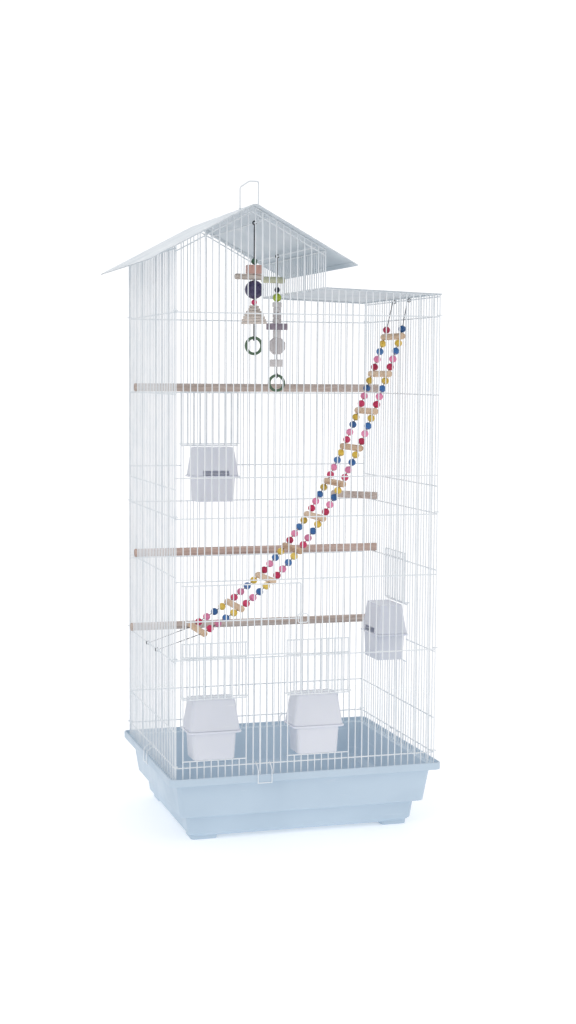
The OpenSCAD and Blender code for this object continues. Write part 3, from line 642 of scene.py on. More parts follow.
@dataclass(frozen=True)
class PaintedSheet:
    """Enamelled roof sheet: soft roller waves, faint streaks down the slope, and paler, rubbed edges."""

    name: str = "roof_enamel"
    slot: str = "roof_paint"
    light: Point = (220, 228, 233)
    shade: Point = (207, 217, 224)
    rubbed: Point = (238, 241, 243)

    def material(self) -> bpy.types.Material:
        """Returns: the material."""
        bench = NodeBench(self.name)
        patches = bench.sum("ADD", bench.noise(7, detail=3), bench.noise(30, (1, 0.12, 1), 4))
        colour = bench.shades(bench.sum("MULTIPLY", patches, 0.5), [(0.38, self.shade), (0.62, self.light)])
        chips = bench.sum("MULTIPLY", bench.layer("wear"), bench.span(bench.noise(120, detail=5), 0.42, 0.60))
        colour = bench.mixed(chips, colour, self.rubbed, 0.8)
        rough = bench.roughness(bench.noise(16, detail=5), (0.30, 0.50))
        height = bench.sum("ADD", bench.noise(700, detail=2), bench.noise(9, detail=1))
        return bench.finish(colour, rough, height, 0.00010, Specular_IOR_Level=0.5)


@dataclass(frozen=True)
class MouldedPlastic:
    """Moulded plastic: a fine spark grain, flow patches, long faint scuffs, and a faint painted glow in its
    own light colour in place of light coming through.
    """

    name: str
    slot: str
    light: Point
    shade: Point
    scuff: Point
    gloss: tuple[float, float] = (0.34, 0.52)
    scatter: float = 0.0
    painted_glow: float = 0.0

    def material(self) -> bpy.types.Material:
        """Returns: the material."""
        bench = NodeBench(self.name)
        colour = bench.shades(bench.noise(5.5, detail=4, warp=0.6), [(0.36, self.shade), (0.64, self.light)])
        scratches = bench.span(bench.noise(34, (0.3, 0.3, 3.2), 6, 0.4), 0.66, 0.72)
        colour = bench.mixed(scratches, colour, self.scuff, 0.35)
        colour = bench.mixed(bench.layer("wear"), colour, self.scuff, 0.35)
        rough = bench.roughness(bench.noise(22, detail=5), self.gloss)
        height = bench.sum("ADD", bench.noise(1900, detail=2), bench.sum("MULTIPLY", scratches, -0.6))
        # Painted glow: the emission makes the plastic shine faintly in its own light colour, standing in for
        # light that comes through the wall.
        material = bench.finish(colour, rough, height, 0.00005, Subsurface_Weight=self.scatter,
                                Emission_Strength=self.painted_glow)
        bench.shader.inputs["Emission Color"].default_value = linear(self.light)
        bench.shader.inputs["Subsurface Radius"].default_value = (0.006, 0.006, 0.008)
        bench.shader.inputs["Subsurface Scale"].default_value = 1.0
        return material


class Grain(Enum):
    """Which way the wood's fibres run: the pattern is drawn out along that axis."""

    ALONG_X = (0.05, 1.0, 1.0)
    ALONG_Y = (1.0, 0.05, 1.0)
    ALONG_Z = (1.0, 1.0, 0.05)


@dataclass(frozen=True)
class BareWood:
    """Sanded wood: fibres drawn out along the grain, darker pores, slow bands, and a shade for each piece."""

    name: str
    slot: str
    light: Point
    middle: Point
    dark: Point
    grain: Grain = Grain.ALONG_X

    def material(self) -> bpy.types.Material:
        """Returns: the material."""
        bench = NodeBench(self.name)
        fibres = bench.noise(260, self.grain.value, 5, 0.8)
        bands = bench.noise(70, self.grain.value, 2, 1.5)
        value = bench.sum("ADD", bench.sum("MULTIPLY", fibres, 0.45), bench.sum("MULTIPLY", bands, 0.35))
        value = bench.sum("ADD", value, bench.sum("MULTIPLY", bench.layer("tone"), 0.2))
        colour = bench.shades(value, [(0.34, self.dark), (0.48, self.middle), (0.64, self.light)])
        pores = bench.span(bench.noise(620, self.grain.value, 3), 0.62, 0.72)
        colour = bench.mixed(pores, colour, self.dark, 0.4)
        rough = bench.roughness(fibres, (0.52, 0.74))
        height = bench.sum("SUBTRACT", fibres, bench.sum("MULTIPLY", pores, 0.7))
        return bench.finish(colour, rough, height, 0.00016)


@dataclass(frozen=True)
class PaintedWood:
    """Dyed and lacquered wood: a little grain under the colour, a shade for each piece, and worn edges."""

    name: str
    slot: str
    colour: Point
    bare: Point = (226, 200, 172)

    def material(self) -> bpy.types.Material:
        """Returns: the material."""
        bench = NodeBench(self.name)
        full = np.asarray(self.colour, float)
        value = bench.sum("ADD", bench.sum("MULTIPLY", bench.noise(150, (1, 1, 0.3), 4, 0.5), 0.6),
                          bench.sum("MULTIPLY", bench.layer("tone"), 0.4))
        colour = bench.shades(value, [(0.25, 0.78 * full), (0.5, full), (0.78, full + 0.16 * (255 - full))])
        worn = bench.sum("MULTIPLY", bench.layer("wear"), bench.span(bench.noise(420, detail=4), 0.48, 0.62))
        colour = bench.mixed(worn, colour, self.bare, 0.7)
        rough = bench.roughness(bench.noise(90, detail=4), (0.24, 0.42))
        return bench.finish(colour, rough, bench.noise(380, (1, 1, 0.3), 3), 0.00010)


@dataclass(frozen=True)
class BareSteel:
    """Drawn steel wire: dark grey with faint draw lines and duller patches."""

    name: str = "hook_wire"
    slot: str = "hook_steel"
    light: Point = (104, 106, 112)
    shade: Point = (66, 68, 74)

    def material(self) -> bpy.types.Material:
        """Returns: the material."""
        bench = NodeBench(self.name)
        colour = bench.shades(bench.noise(90, detail=4), [(0.35, self.shade), (0.65, self.light)])
        rough = bench.roughness(bench.noise(240, (1, 1, 0.1), 4), (0.26, 0.44))
        return bench.finish(colour, rough, bench.noise(900, (1, 1, 0.08), 2), 0.00003, Metallic=0.85)


WIRE = PowderCoat()
ROOF = PaintedSheet()
STEEL = BareSteel()
# The tray and the feeders glow faintly from their emission: painted light in place of light through the
# plastic.
TRAY = MouldedPlastic("tray_plastic_blue", "tray_plastic", (188, 205, 219), (178, 196, 211), (208, 219, 229),
                      painted_glow=0.07)
FEEDER = MouldedPlastic("feeder_plastic_white", "feeder_plastic", (219, 222, 231), (209, 213, 223),
                        (236, 239, 244), gloss=(0.30, 0.46), scatter=0.2, painted_glow=0.07)
MOSS = MouldedPlastic("ring_plastic_moss", "olive_plastic", (92, 118, 92), (72, 98, 76), (126, 148, 124),
                      gloss=(0.26, 0.40), scatter=0.1)
PERCH = BareWood("perch_wood", "wood", (214, 200, 190), (197, 180, 170), (161, 143, 133))
# A darker, redder copy of the perch wood: painted shade for the middle perch, which sits in shade.
SHADED_PERCH = BareWood("perch_wood_painted_shade", "wood", (214, 190, 178), (195, 167, 155), (156, 128, 116))
RUNG = BareWood("rung_wood", "wood", (232, 205, 176), (216, 184, 152), (182, 146, 114), Grain.ALONG_Y)
GREYED = BareWood("greyed_wood", "pale_wood", (226, 221, 219), (211, 205, 204), (180, 173, 173),
                  Grain.ALONG_Z)
ASHEN = BareWood("ashen_wood", "pale_wood", (228, 216, 206), (211, 199, 189), (178, 166, 156))
CRIMSON = PaintedWood("crimson_lacquer", "crimson_wood", (206, 34, 88))
BLUE = PaintedWood("blue_lacquer", "blue_wood", (46, 106, 172))
YELLOW = PaintedWood("yellow_lacquer", "yellow_wood", (234, 196, 72))
PINK = PaintedWood("pink_lacquer", "pink_wood", (240, 136, 178))
ROSY = PaintedWood("rosy_stain", "pink_wood", (204, 158, 146))
PURPLE = PaintedWood("purple_lacquer", "purple_wood", (42, 34, 76))
MAUVE = PaintedWood("mauve_stain", "purple_wood", (166, 150, 164))
INK = PaintedWood("ink_lacquer", "blue_wood", (44, 50, 66))
LIME = PaintedWood("lime_lacquer", "lime_wood", (172, 194, 56))
GREEN = PaintedWood("green_lacquer", "lime_wood", (66, 104, 80))
STRAW = PaintedWood("straw_stain", "pale_wood", (206, 206, 172))
Finish = PowderCoat | PaintedSheet | MouldedPlastic | BareWood | PaintedWood | BareSteel


class Workshop:
    """Turns skins into pieces of the scene, each with its finish, its body and the nodes it stands for."""

    def __init__(self) -> None:
        """Finds where the cage's own origin stands: under the middle of the front panel's box."""
        low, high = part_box("front_panel")
        self.shift = (float(low.x + high.x) / 2, 0.0, 0.0)
        self._materials: dict[str, bpy.types.Material] = {}

    def material(self, finish: Finish) -> bpy.types.Material:
        """The finish's material, made the first time it is asked for."""
        if finish.name not in self._materials:
            self._materials[finish.name] = finish.material()
        return self._materials[finish.name]

    def mesh(self, name: str, skin: Skin) -> bpy.types.Mesh:
        """The skin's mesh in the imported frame."""
        return skin.mesh(name, self.shift)

    def place(self, name: str, shape: Skin | bpy.types.Mesh, finish: Finish, body: str, *nodes: str) -> None:
        """Puts a piece in the scene.

        Args:
            name: Name of the piece.
            shape: A skin, or a mesh that is made already.
            finish: What it is finished with.
            body: The body that it moves with.
            nodes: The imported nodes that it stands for.
        """
        mesh = self.mesh(name, shape) if isinstance(shape, Skin) else shape
        mesh.materials.clear()
        mesh.materials.append(self.material(finish))
        piece = bpy.data.objects.new(name, mesh)
        bpy.context.scene.collection.objects.link(piece)
        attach(piece, body)
        if nodes:
            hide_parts(*nodes)
        LOG.info("%s: %d faces on %s", name, len(mesh.polygons), body)


# The cage's wires


@dataclass(frozen=True)
class Body:
    """Sizes that the wire panels, the doors and the roofs share.

    Wire, level and post are the radii of an upright, a level wire and the stronger upright of the front.
    Sloped says how far the gables' two sloped wires lie under the roof, and fit is the play between pieces.
    """

    width: float = 440.0
    depth: float = 360.0
    front_gaps: int = 38
    side_gaps: int = 30
    tower_gaps: int = 21
    wire: float = 0.9
    level: float = 1.0
    post: float = 1.4
    post_at: int = 12
    fit: float = 0.3
    upright_y: float = -1.65
    foot: float = 106.3
    ridge_z: float = 1019.0
    slope: float = 0.5366
    sheet: float = 0.8
    eave: float = 48.0
    verge: float = 22.0
    flat_low: float = 885.6
    flat_high: float = 891.6
    flat_over: float = 3.0
    sloped: tuple[float, float] = (1.3, 10.3)

    @property
    def pitch(self) -> float:
        """Distance between two uprights of the front."""
        return self.width / self.front_gaps

    @property
    def side_half(self) -> float:
        """Half the distance between the outer uprights of a side."""
        return self.depth / 2 - self.level - self.fit - self.wire

    @property
    def side_pitch(self) -> float:
        """Distance between two uprights of a side."""
        return 2 * self.side_half / self.side_gaps

    def front_x(self, gap: Array | float) -> Array | float:
        """X of an upright of the front, counted in gaps from the left."""
        return -self.width / 2 + gap * self.pitch

    def side_y(self, gap: Array | float) -> Array | float:
        """Place of an upright of a side, counted in gaps from the middle."""
        return gap * self.side_pitch

    @property
    def tower_x(self) -> float:
        """X of the tower's right wall."""
        return self.front_x(self.tower_gaps)

    @property
    def ridge_x(self) -> float:
        """X of the ridge."""
        return (self.tower_x - self.width / 2) / 2

    @property
    def tower_half(self) -> float:
        """Half the tower's width."""
        return (self.tower_x + self.width / 2) / 2

    @property
    def wire_out(self) -> float:
        """Distance of an upright's outer side from the panel's plane."""
        return self.wire - self.upright_y

    def roof_under(self, x: Array | float) -> Array | float:
        """Height of the pitched roof's underside over x."""
        thick = self.sheet * np.hypot(1, self.slope)
        return self.ridge_z - thick - self.slope * np.abs(x - self.ridge_x)

    def flat_under(self, x: Array | float) -> Array | float:
        """Height of the flat roof's underside over x."""
        fall = (self.flat_low - self.flat_high) / (self.width / 2 - self.tower_x)
        return self.flat_high + fall * (x - self.tower_x)

    @property
    def wall_top(self) -> float:
        """Height of the tower walls' uprights."""
        return float(self.roof_under(self.tower_x + self.wire_out)) - self.fit


BODY = Body()


class Face(Enum):
    """The faces of the wire body: how far each is turned, and where its middle stands."""

    FRONT = (0.0, 0.0, -BODY.depth / 2)
    RIGHT = (90.0, BODY.width / 2, 0.0)
    BACK = (180.0, 0.0, BODY.depth / 2)
    LEFT = (-90.0, -BODY.width / 2, 0.0)
    TOWER = (90.0, BODY.tower_x, 0.0)

    def __call__(self, points: Array) -> Array:
        """Puts points of a face, with x along it, -y outwards and z up, in the cage's frame."""
        return spun(points, self.value[0], (self.value[1], self.value[2], 0))


@dataclass(frozen=True)
class Hole:
    """An opening of a panel, on its face."""

    left: float
    right: float
    sill: float
    head: float


SEAT = 1.3  # height of a feeder's foot over the sill of its opening
CUP_HEIGHT = 46.0
LID_GAP = 0.3  # play between a cup and its hood
HOOD_HEIGHT = 49.7
HOOD_PLAY = 1.1  # play between a hood and the wire over it
FEEDER_RISE = SEAT + CUP_HEIGHT + LID_GAP + HOOD_HEIGHT + HOOD_PLAY + BODY.level


def feeder_hole(left: float, right: float, sill: float) -> Hole:
    """An opening that is as high as a feeder needs."""
    return Hole(left, right, sill, sill + FEEDER_RISE)


HOLE_A = feeder_hole(BODY.front_x(1), BODY.front_x(10), 138)
HOLE_B = feeder_hole(BODY.front_x(16), BODY.front_x(25), 138)
HOLE_C = feeder_hole(-BODY.front_x(17), -BODY.front_x(8), 526)
HOLE_D = feeder_hole(BODY.side_y(-4), BODY.side_y(4), 258)
HOLE_DOOR = Hole(BODY.front_x(1), BODY.front_x(18), 301, 426)


@dataclass
class WirePanel:
    """A welded panel: uprights outside, level wires inside, a pressed-out drop of metal at each crossing.

    An opening cuts the level wires that lie more than the margin inside its sill and its head. A wire is
    welded to one that it meets up to the reach past its end.
    """

    face: Face
    stations: Array
    tops: Array
    heights: Sequence[float]
    half: float
    holes: Sequence[Hole] = ()
    foot: float = BODY.foot
    girths: Array | float = BODY.wire
    margin: float = 2.0
    reach: float = 1.0

    def _uprights(self) -> Array:
        """Rows of (place, low end, high end, radius) of the uprights, cut at the openings."""
        rows = []
        girths = np.broadcast_to(self.girths, self.stations.shape)
        for u, top, girth in zip(self.stations, self.tops, girths):
            cuts = [h for h in self.holes if h.left + NEAR < u < h.right - NEAR]
            starts = [self.foot] + [h.head - BODY.level for h in cuts]
            ends = [h.sill + BODY.level for h in cuts] + [top]
            rows += [(u, a, b, girth) for a, b in zip(starts, ends)]
        return np.array(rows)

    def _levels(self) -> Array:
        """Rows of (left end, right end, height) of the level wires, cut at the openings."""
        rows = []
        for z in self.heights:
            cuts = [h for h in self.holes if h.sill + self.margin < z < h.head - self.margin]
            starts = [-self.half] + [h.right - BODY.wire for h in cuts]
            ends = [h.left + BODY.wire for h in cuts] + [self.half]
            rows += [(a, b, z) for a, b in zip(starts, ends)]
        for hole in self.holes:
            edges = [z for z in (hole.sill, hole.head) if z not in self.heights]
            rows += [(hole.left - BODY.wire, hole.right + BODY.wire, z) for z in edges]
        return np.array(rows)

    def skin(self) -> Skin:
        """Builds the panel.

        Returns:
            The panel's wires and welds, in the cage's frame.
        """
        place, low, high, girth = self._uprights().T
        left, right, level = self._levels().T
        skin = Skin()
        skin.add(self.face(standing(place, BODY.upright_y - (girth - BODY.wire), low, high, girth)))
        skin.add(self.face(lying(left, right, 0, level, BODY.level)))
        beside = (left - self.reach < place[:, None]) & (place[:, None] < right + self.reach)
        over = (low[:, None] - self.reach < level) & (level < high[:, None] + self.reach)
        i, j = np.nonzero(beside & over)
        centres = np.stack([place[i], np.full(len(i), BODY.upright_y / 2), level[j]], -1)
        skin.add(self.face(drops(centres, WELD)))
        return skin


@dataclass
class GablePanel:
    """The front or the back: its left part runs up to the pitched roof, its right part to the flat one.

    Its uprights end under_flat below the flat roof, and the wire that carries that roof lies rail_drop below.
    """

    face: Face
    heights: Sequence[float]
    holes: Sequence[Hole]
    under_flat: float = 2.0
    rail_drop: float = 1.3

    def skin(self) -> Skin:
        """Builds the panel with its sloped wires and the wire that carries the flat roof.

        Returns:
            The panel's wires, in the cage's frame.
        """
        side = 1 if self.face is Face.FRONT else -1
        x = BODY.front_x(np.arange(BODY.front_gaps + 1))
        in_tower = x < BODY.tower_x + NEAR
        tops = np.where(in_tower, BODY.roof_under(x) - BODY.sloped[0], BODY.flat_under(x) - self.under_flat)
        girths = np.where((np.arange(len(x)) == BODY.post_at) & (side > 0), BODY.post, BODY.wire)
        panel = WirePanel(self.face, side * x, tops, self.heights, BODY.width / 2 + BODY.wire, self.holes,
                          girths=girths)
        skin = panel.skin()
        tower = x[in_tower]
        ends = BODY.ridge_x + BODY.tower_half * np.array([0, -1, 1])
        for drop in BODY.sloped:
            ridge, left, right = np.stack([side * ends, 0 * ends, BODY.roof_under(ends) - drop], -1)
            skin.add(self.face(rods([ridge, ridge], [left, right], BODY.level)))
            middle = np.full(len(tower), BODY.upright_y / 2)
            centres = np.stack([side * tower, middle, BODY.roof_under(tower) - drop], -1)
            skin.add(self.face(drops(centres, WELD)))
        ends = np.array([BODY.tower_x, BODY.width / 2])
        start, end = np.stack([side * ends, 0 * ends, BODY.flat_under(ends) - self.rail_drop], -1)
        skin.add(self.face(rods(start, end, BODY.level)))
        return skin


@dataclass
class WireBody:
    """The welded cage: five panels, the rails under the roof and the rings at the corners.

    The levels are the heights of the level wires. Each side has one more, side_brim below its top, and the
    tower's wall has two, tower_edge inside its ends.
    """

    front_levels: Sequence[float] = (128, 301, 426, 526, 590, 849)
    back_levels: Sequence[float] = (128, 186, 301, 426, 526, 590, 720, 849)
    side_levels: Sequence[float] = (128, 186, 297, 433, 527, 572, 721.5, 849)
    ring_levels: Sequence[float] = (128, 301, 527, 849)
    rail_gaps: Sequence[float] = (12.7, 19.5)
    rail_radius: float = 1.2
    rail_half: float = 181.0
    ring: tuple[float, float] = (3.96, 0.7)
    ring_lift: float = 2.5
    side_brim: float = 4.0
    tower_edge: float = 2.0

    def rail(self, number: int) -> tuple[float, float]:
        """X and height of a rail under the roof: it lies on the gables' lower sloped wires."""
        x = BODY.front_x(self.rail_gaps[number])
        rise = (BODY.level + BODY.fit + self.rail_radius) * np.hypot(1, BODY.slope)
        return x, float(BODY.roof_under(x)) - BODY.sloped[1] + rise

    def _panels(self, shop: Workshop) -> None:
        """Builds the front, the back, both sides and the tower's wall."""
        front = GablePanel(Face.FRONT, self.front_levels, (HOLE_A, HOLE_B, HOLE_DOOR))
        back = GablePanel(Face.BACK, self.back_levels, (HOLE_C,))
        shop.place("front_wires", front.skin(), WIRE, "cage", "front_panel")
        shop.place("back_wires", back.skin(), WIRE, "cage", "back_panel")
        y = BODY.side_y(np.arange(BODY.side_gaps + 1) - BODY.side_gaps / 2)
        half = BODY.side_half + BODY.wire
        wall_top = BODY.wall_top
        right_top = float(BODY.flat_under(BODY.width / 2 + BODY.wire_out)) - BODY.fit
        for name, face, top, holes in (
            ("left", Face.LEFT, wall_top, ()),
            ("right", Face.RIGHT, right_top, (HOLE_D,)),
        ):
            levels = (*self.side_levels, top - self.side_brim)
            panel = WirePanel(face, y, np.full(len(y), top), levels, half, holes)
            shop.place(f"{name}_wires", panel.skin(), WIRE, "cage", f"{name}_panel")
        levels = (BODY.flat_high, wall_top - self.tower_edge)
        tower = WirePanel(Face.TOWER, y, np.full(len(y), wall_top), levels, half,
                          foot=BODY.flat_high - self.tower_edge)
        shop.place("tower_wires", tower.skin(), WIRE, "cage", "tower_wall")

    def build(self, shop: Workshop) -> None:
        """Builds the panels, rails and rings, and dresses them in powder coat."""
        self._panels(shop)
        rails = Skin()
        for x, z in map(self.rail, (0, 1)):
            rails.add(rods([(x, -self.rail_half, z)], [(x, self.rail_half, z)], self.rail_radius, 10))
        shop.place("roof_rail_wires", rails, WIRE, "cage", "roof_rails")
        corner_x = BODY.width / 2 - BODY.upright_y / 2
        corner_y = (BODY.side_half + BODY.depth / 2 - BODY.upright_y) / 2
        spots = [(sx * corner_x, sy * corner_y, z + self.ring_lift)
                 for sx in (-1, 1) for sy in (-1, 1) for z in self.ring_levels]
        rings = Skin().add(hoops(spots, (0, 0, 1), *self.ring), wrap=True)
        shop.place("corner_ring_wires", rings, WIRE, "cage", "corner_rings")


@dataclass
class Roofs:
    """The folded sheet over the tower and the flat sheet beside it, with their edges turned under.

    The fold's hyperbola has the radius ridge_round and starts ridge_sink of it higher. On the slope a sheet
    is hem_thick of its thickness from top to bottom. Rim, inset and fold set where its rows are close.
    """

    hem: float = 9.0
    hem_gap: float = 0.15
    hem_thick: float = 1.14
    ridge_round: float = 5.0
    ridge_sink: float = 0.35
    border: float = 3.0
    rim: Sequence[float] = (2.0, 0.7, 0.0)
    inset: float = 4.0
    fold: tuple[float, float] = (16.0, 30.0)

    def pitched(self, x: Array, y: Array) -> Array:
        """The upper side of the folded sheet.

        The height falls by the slope times the distance from the ridge. A hyperbola eases the fold.

        Args:
            x: Distances from the ridge.
            y: Places along the ridge.

        Returns:
            Points in the shape (y, x, 3).
        """
        far, along = np.meshgrid(x, y)
        ease = self.ridge_round
        fall = BODY.slope * (np.hypot(far, ease) - ease * self.ridge_sink)
        fall = np.maximum(fall, BODY.slope * np.abs(far))
        return np.stack([BODY.ridge_x + far, along, BODY.ridge_z - fall], -1)

    def flat(self, x: Array, y: Array) -> Array:
        """The upper side of the flat sheet: a plane that falls to the right."""
        across, along = np.meshgrid(x, y)
        return np.stack([across, along, BODY.flat_under(across) + BODY.sheet], -1)

    def _hemmed(self, surface: Callable[[Array, Array], Array], x: Array, y: Array) -> Skin:
        """A sheet over the whole grid, and four narrow strips of it folded under the border.

        Args:
            surface: The upper side, from places in x and y.
            x: Places across the sheet, from border to border.
            y: Places along the sheet.

        Returns:
            The sheet's skin, with wear along the border.
        """
        far_x = np.minimum(x - x[0], x[-1] - x)[None]
        far_y = np.minimum(y - y[0], y[-1] - y)[:, None]
        wear = np.clip(1 - np.minimum(far_x, far_y) / self.border, 0, 1)
        skin = Skin().sheet(surface(x, y), BODY.sheet, wear)
        under = np.array([0, 0, -(BODY.sheet * self.hem_thick + self.hem_gap)])
        inner_x, inner_y = x[0] + self.hem, y[0] + self.hem
        between = x[(x > inner_x) & (x < x[-1] - self.hem)]
        bands = [
            (np.linspace(x[0], inner_x, 3), y), (np.linspace(x[-1] - self.hem, x[-1], 3), y),
            (between, np.linspace(y[0], inner_y, 3)), (between, np.linspace(y[-1] - self.hem, y[-1], 3)),
        ]
        for across, along in bands:
            skin.sheet(surface(across, along) + under, BODY.sheet)
        return skin

    def build(self, shop: Workshop) -> None:
        """Builds both roofs and dresses them in enamel."""
        half = BODY.tower_half + BODY.eave
        deep = BODY.depth / 2 + BODY.verge
        rim, (fine, coarse) = np.array(self.rim), self.fold
        near, far = np.linspace(0, fine, 9)[1:], np.linspace(coarse, half - self.inset, 9)
        side = np.concatenate([near, far, half - rim])
        x = np.concatenate([-side[::-1], [0], side])
        along = np.linspace(self.inset - deep, deep - self.inset, 15)
        y = np.concatenate([(rim - deep)[::-1], along, deep - rim])
        shop.place("pitched_roof_sheet", self._hemmed(self.pitched, x, y), ROOF, "cage", "pitched_roof")
        x = np.linspace(BODY.tower_x + BODY.wire_out + BODY.fit, BODY.width / 2 + BODY.flat_over, 25)
        y = np.linspace(-BODY.depth / 2 - BODY.flat_over, BODY.depth / 2 + BODY.flat_over, 31)
        shop.place("flat_roof_sheet", self._hemmed(self.flat, x, y), ROOF, "cage", "flat_roof")


@dataclass
class CarryHandle:
    """The wire loop through the ridge, with crimped stops outside and turned-out feet inside."""

    radius: float = 1.2
    half: float = 15.0
    rise: float = 37.0
    slant: float = 10.0
    lift: float = 8.0
    foot: float = 6.0
    y: float = -165.0
    bend: float = 3.0
    stop: tuple[float, float] = (2.4, 1.2)

    def build(self, shop: Workshop) -> None:
        """Builds the loop and its stops, and dresses them in powder coat."""
        out = self.half + self.foot
        low = float(BODY.roof_under(BODY.ridge_x + out)) - self.lift - 2 * self.radius
        top = BODY.ridge_z + self.rise
        line = [(out, low), (self.half, low), (self.half, top), (0, top), (-self.half, top - self.slant),
                (-self.half, low), (-out, low)]
        path = np.array([(BODY.ridge_x + x, self.y, z) for x, z in line])
        skin = Skin().add(carried(eased(path, self.bend, steps=5), self.radius, sides=12))
        width, thick = self.stop
        z = BODY.ridge_z - BODY.slope * (self.half - width) + BODY.fit + thick / 2
        for way in (-1, 1):
            stop = dowel(width, thick, edge=0.4, sides=16)
            skin.add(stop + np.array([BODY.ridge_x + way * self.half, self.y, z]))
        shop.place("handle_wire", skin, WIRE, "carry_handle", "handle")


@dataclass
class MainDoor:
    """The big door in front of its opening: a frame, its own uprights, two hinge rings and a finger loop.

    Two tabs reach from the frame past the hinge upright, by tab_out. The uprights stand past the frame, and
    gaps says which uprights of the front they follow.
    """

    frame: float = 1.1
    y: float = -4.4
    play: float = 3.5
    over_sill: float = 5.0
    under_head: float = 6.0
    bend: float = 2.5
    tab_out: float = 0.5
    tab_in: float = 2.5
    gaps: tuple[int, int] = (2, 18)
    past: float = 0.6
    weld_out: float = 1.0
    hinge: tuple[float, float] = (1.9, 0.7)
    latch_radius: float = 0.9
    latch_gap: float = 0.1
    latch_in: float = 4.5
    latch_out: float = 8.0
    latch_height: float = 14.0
    latch_bend: float = 3.0

    def _loop(self, corners: Sequence[Point], y: float, radius: float, bend: float, steps: int) -> Array:
        """A closed loop of wire through corners in x and z, at a depth."""
        line = eased([(x, y, z) for x, z in corners], bend, steps, loop=True)
        return Face.FRONT(carried(line, radius, 10, loop=True))

    def build(self, shop: Workshop) -> None:
        """Builds the door and its latch, and dresses them in powder coat."""
        left, right = HOLE_DOOR.left + self.play, HOLE_DOOR.right - self.play
        low, high = HOLE_DOOR.sill + self.over_sill, HOLE_DOOR.head - self.under_head
        middle = (low + high) / 2
        corners = [(left, low), (right, low), (right, high), (left, high)]
        skin = Skin().add(self._loop(corners, self.y, self.frame, self.bend, 4), wrap=True)
        tab = HOLE_DOOR.left - self.tab_out
        skin.add(Face.FRONT(lying(tab, tab + self.play + self.tab_in, self.y, [low, high], self.frame, 10)))
        skin.add(Face.FRONT(lying(left, right, self.y, middle, self.frame, 10)))
        gaps = np.arange(*self.gaps)
        girth = np.where(gaps == BODY.post_at, BODY.post, BODY.wire)
        x, y = BODY.front_x(gaps), self.y - self.frame - girth + BITE
        skin.add(Face.FRONT(standing(x, y, low - self.past, high + self.past, girth)))
        welds = np.array([(u, self.y - self.weld_out, z) for u in x for z in (low, middle, high)])
        skin.add(Face.FRONT(drops(welds, WELD)))
        rings = [(HOLE_DOOR.left, BODY.upright_y, z) for z in (low, high)]
        skin.add(Face.FRONT(hoops(rings, (0, 0, 1), *self.hinge, around=20)), wrap=True)
        shop.place("main_door_wires", skin, WIRE, "door", "main_door", "door_hinges")
        depth = self.y - self.frame - self.latch_radius - self.latch_gap
        u0, u1 = right - self.latch_in, HOLE_DOOR.right + self.latch_out
        z0, z1 = middle - self.latch_height / 2, middle + self.latch_height / 2
        corners = [(u0, z1), (u0, z0), (u1, z0), (u1, z1)]
        loop = self._loop(corners, depth, self.latch_radius, self.latch_bend, 5)
        shop.place("main_door_latch", Skin().add(loop, wrap=True), WIRE, "door", "door_latch")


@dataclass
class SlidingDoor:
    """A small door that slides up inside a panel, on rings round the opening's edge uprights.

    The rail is the height of the level wire that its hooks hang on, and hooks says in which gaps they are.
    The door has a level wire an edge over its lower end and one at the hooks. Where there is more than
    top_room over the hooks, a third lies an edge under its upper end. The uprights end an inset inside.
    """

    letter: str
    face: Face
    hole: Hole
    pitch: float
    rail: float
    hooks: Sequence[int]
    rise: float = 90.0
    y: float = 2.6
    ring: tuple[float, float] = (4.05, 0.7)
    hook_radius: float = 0.8
    hook_drop: float = 4.0
    hook_bend: float = 1.2
    over_head: float = 2.0
    edge: float = 1.0
    top_room: float = 4.0
    past: float = 1.5
    inset: float = 0.4
    weld_in: float = 0.85

    def build(self, shop: Workshop) -> None:
        """Builds the door, its guide rings and its hooks, and dresses them in powder coat."""
        left, right = self.hole.left, self.hole.right
        hook_z = self.rail + BODY.level + BODY.fit + self.hook_radius
        low = self.hole.head + self.over_head
        high = max(self.hole.head + self.rise, hook_z + BODY.level)
        levels = [low + self.edge, hook_z]
        if high - hook_z > self.top_room:
            levels.append(high - self.edge)
        skin = Skin()
        skin.add(self.face(lying(left - self.past, right + self.past, self.y, levels, BODY.level)))
        count = round((right - left) / self.pitch) + 1
        x = left + np.arange(count) * self.pitch
        y = self.y + BODY.level + BODY.wire - BITE
        skin.add(self.face(standing(x, y, low + self.inset, high - self.inset, BODY.wire)))
        welds = np.array([(u, self.y + self.weld_in, z) for u in x for z in levels])
        skin.add(self.face(drops(welds, WELD)))
        rings = [(u, BODY.upright_y, low + self.edge) for u in (left, right)]
        skin.add(self.face(hoops(rings, (0, 0, 1), *self.ring)), wrap=True)
        reach = -(BODY.level + BODY.fit + self.hook_radius)
        for hook in self.hooks:
            u = left + (hook + 0.5) * self.pitch
            line = [(u, self.y, hook_z), (u, reach, hook_z), (u, reach, hook_z - self.hook_drop)]
            skin.add(self.face(carried(eased(line, self.hook_bend, 4), self.hook_radius, 8)))
        node = f"slide_door_{self.letter}"
        shop.place(f"{node}_wires", skin, WIRE, f"feeder_door_{self.letter}", node)


# Tray, clips and feeders


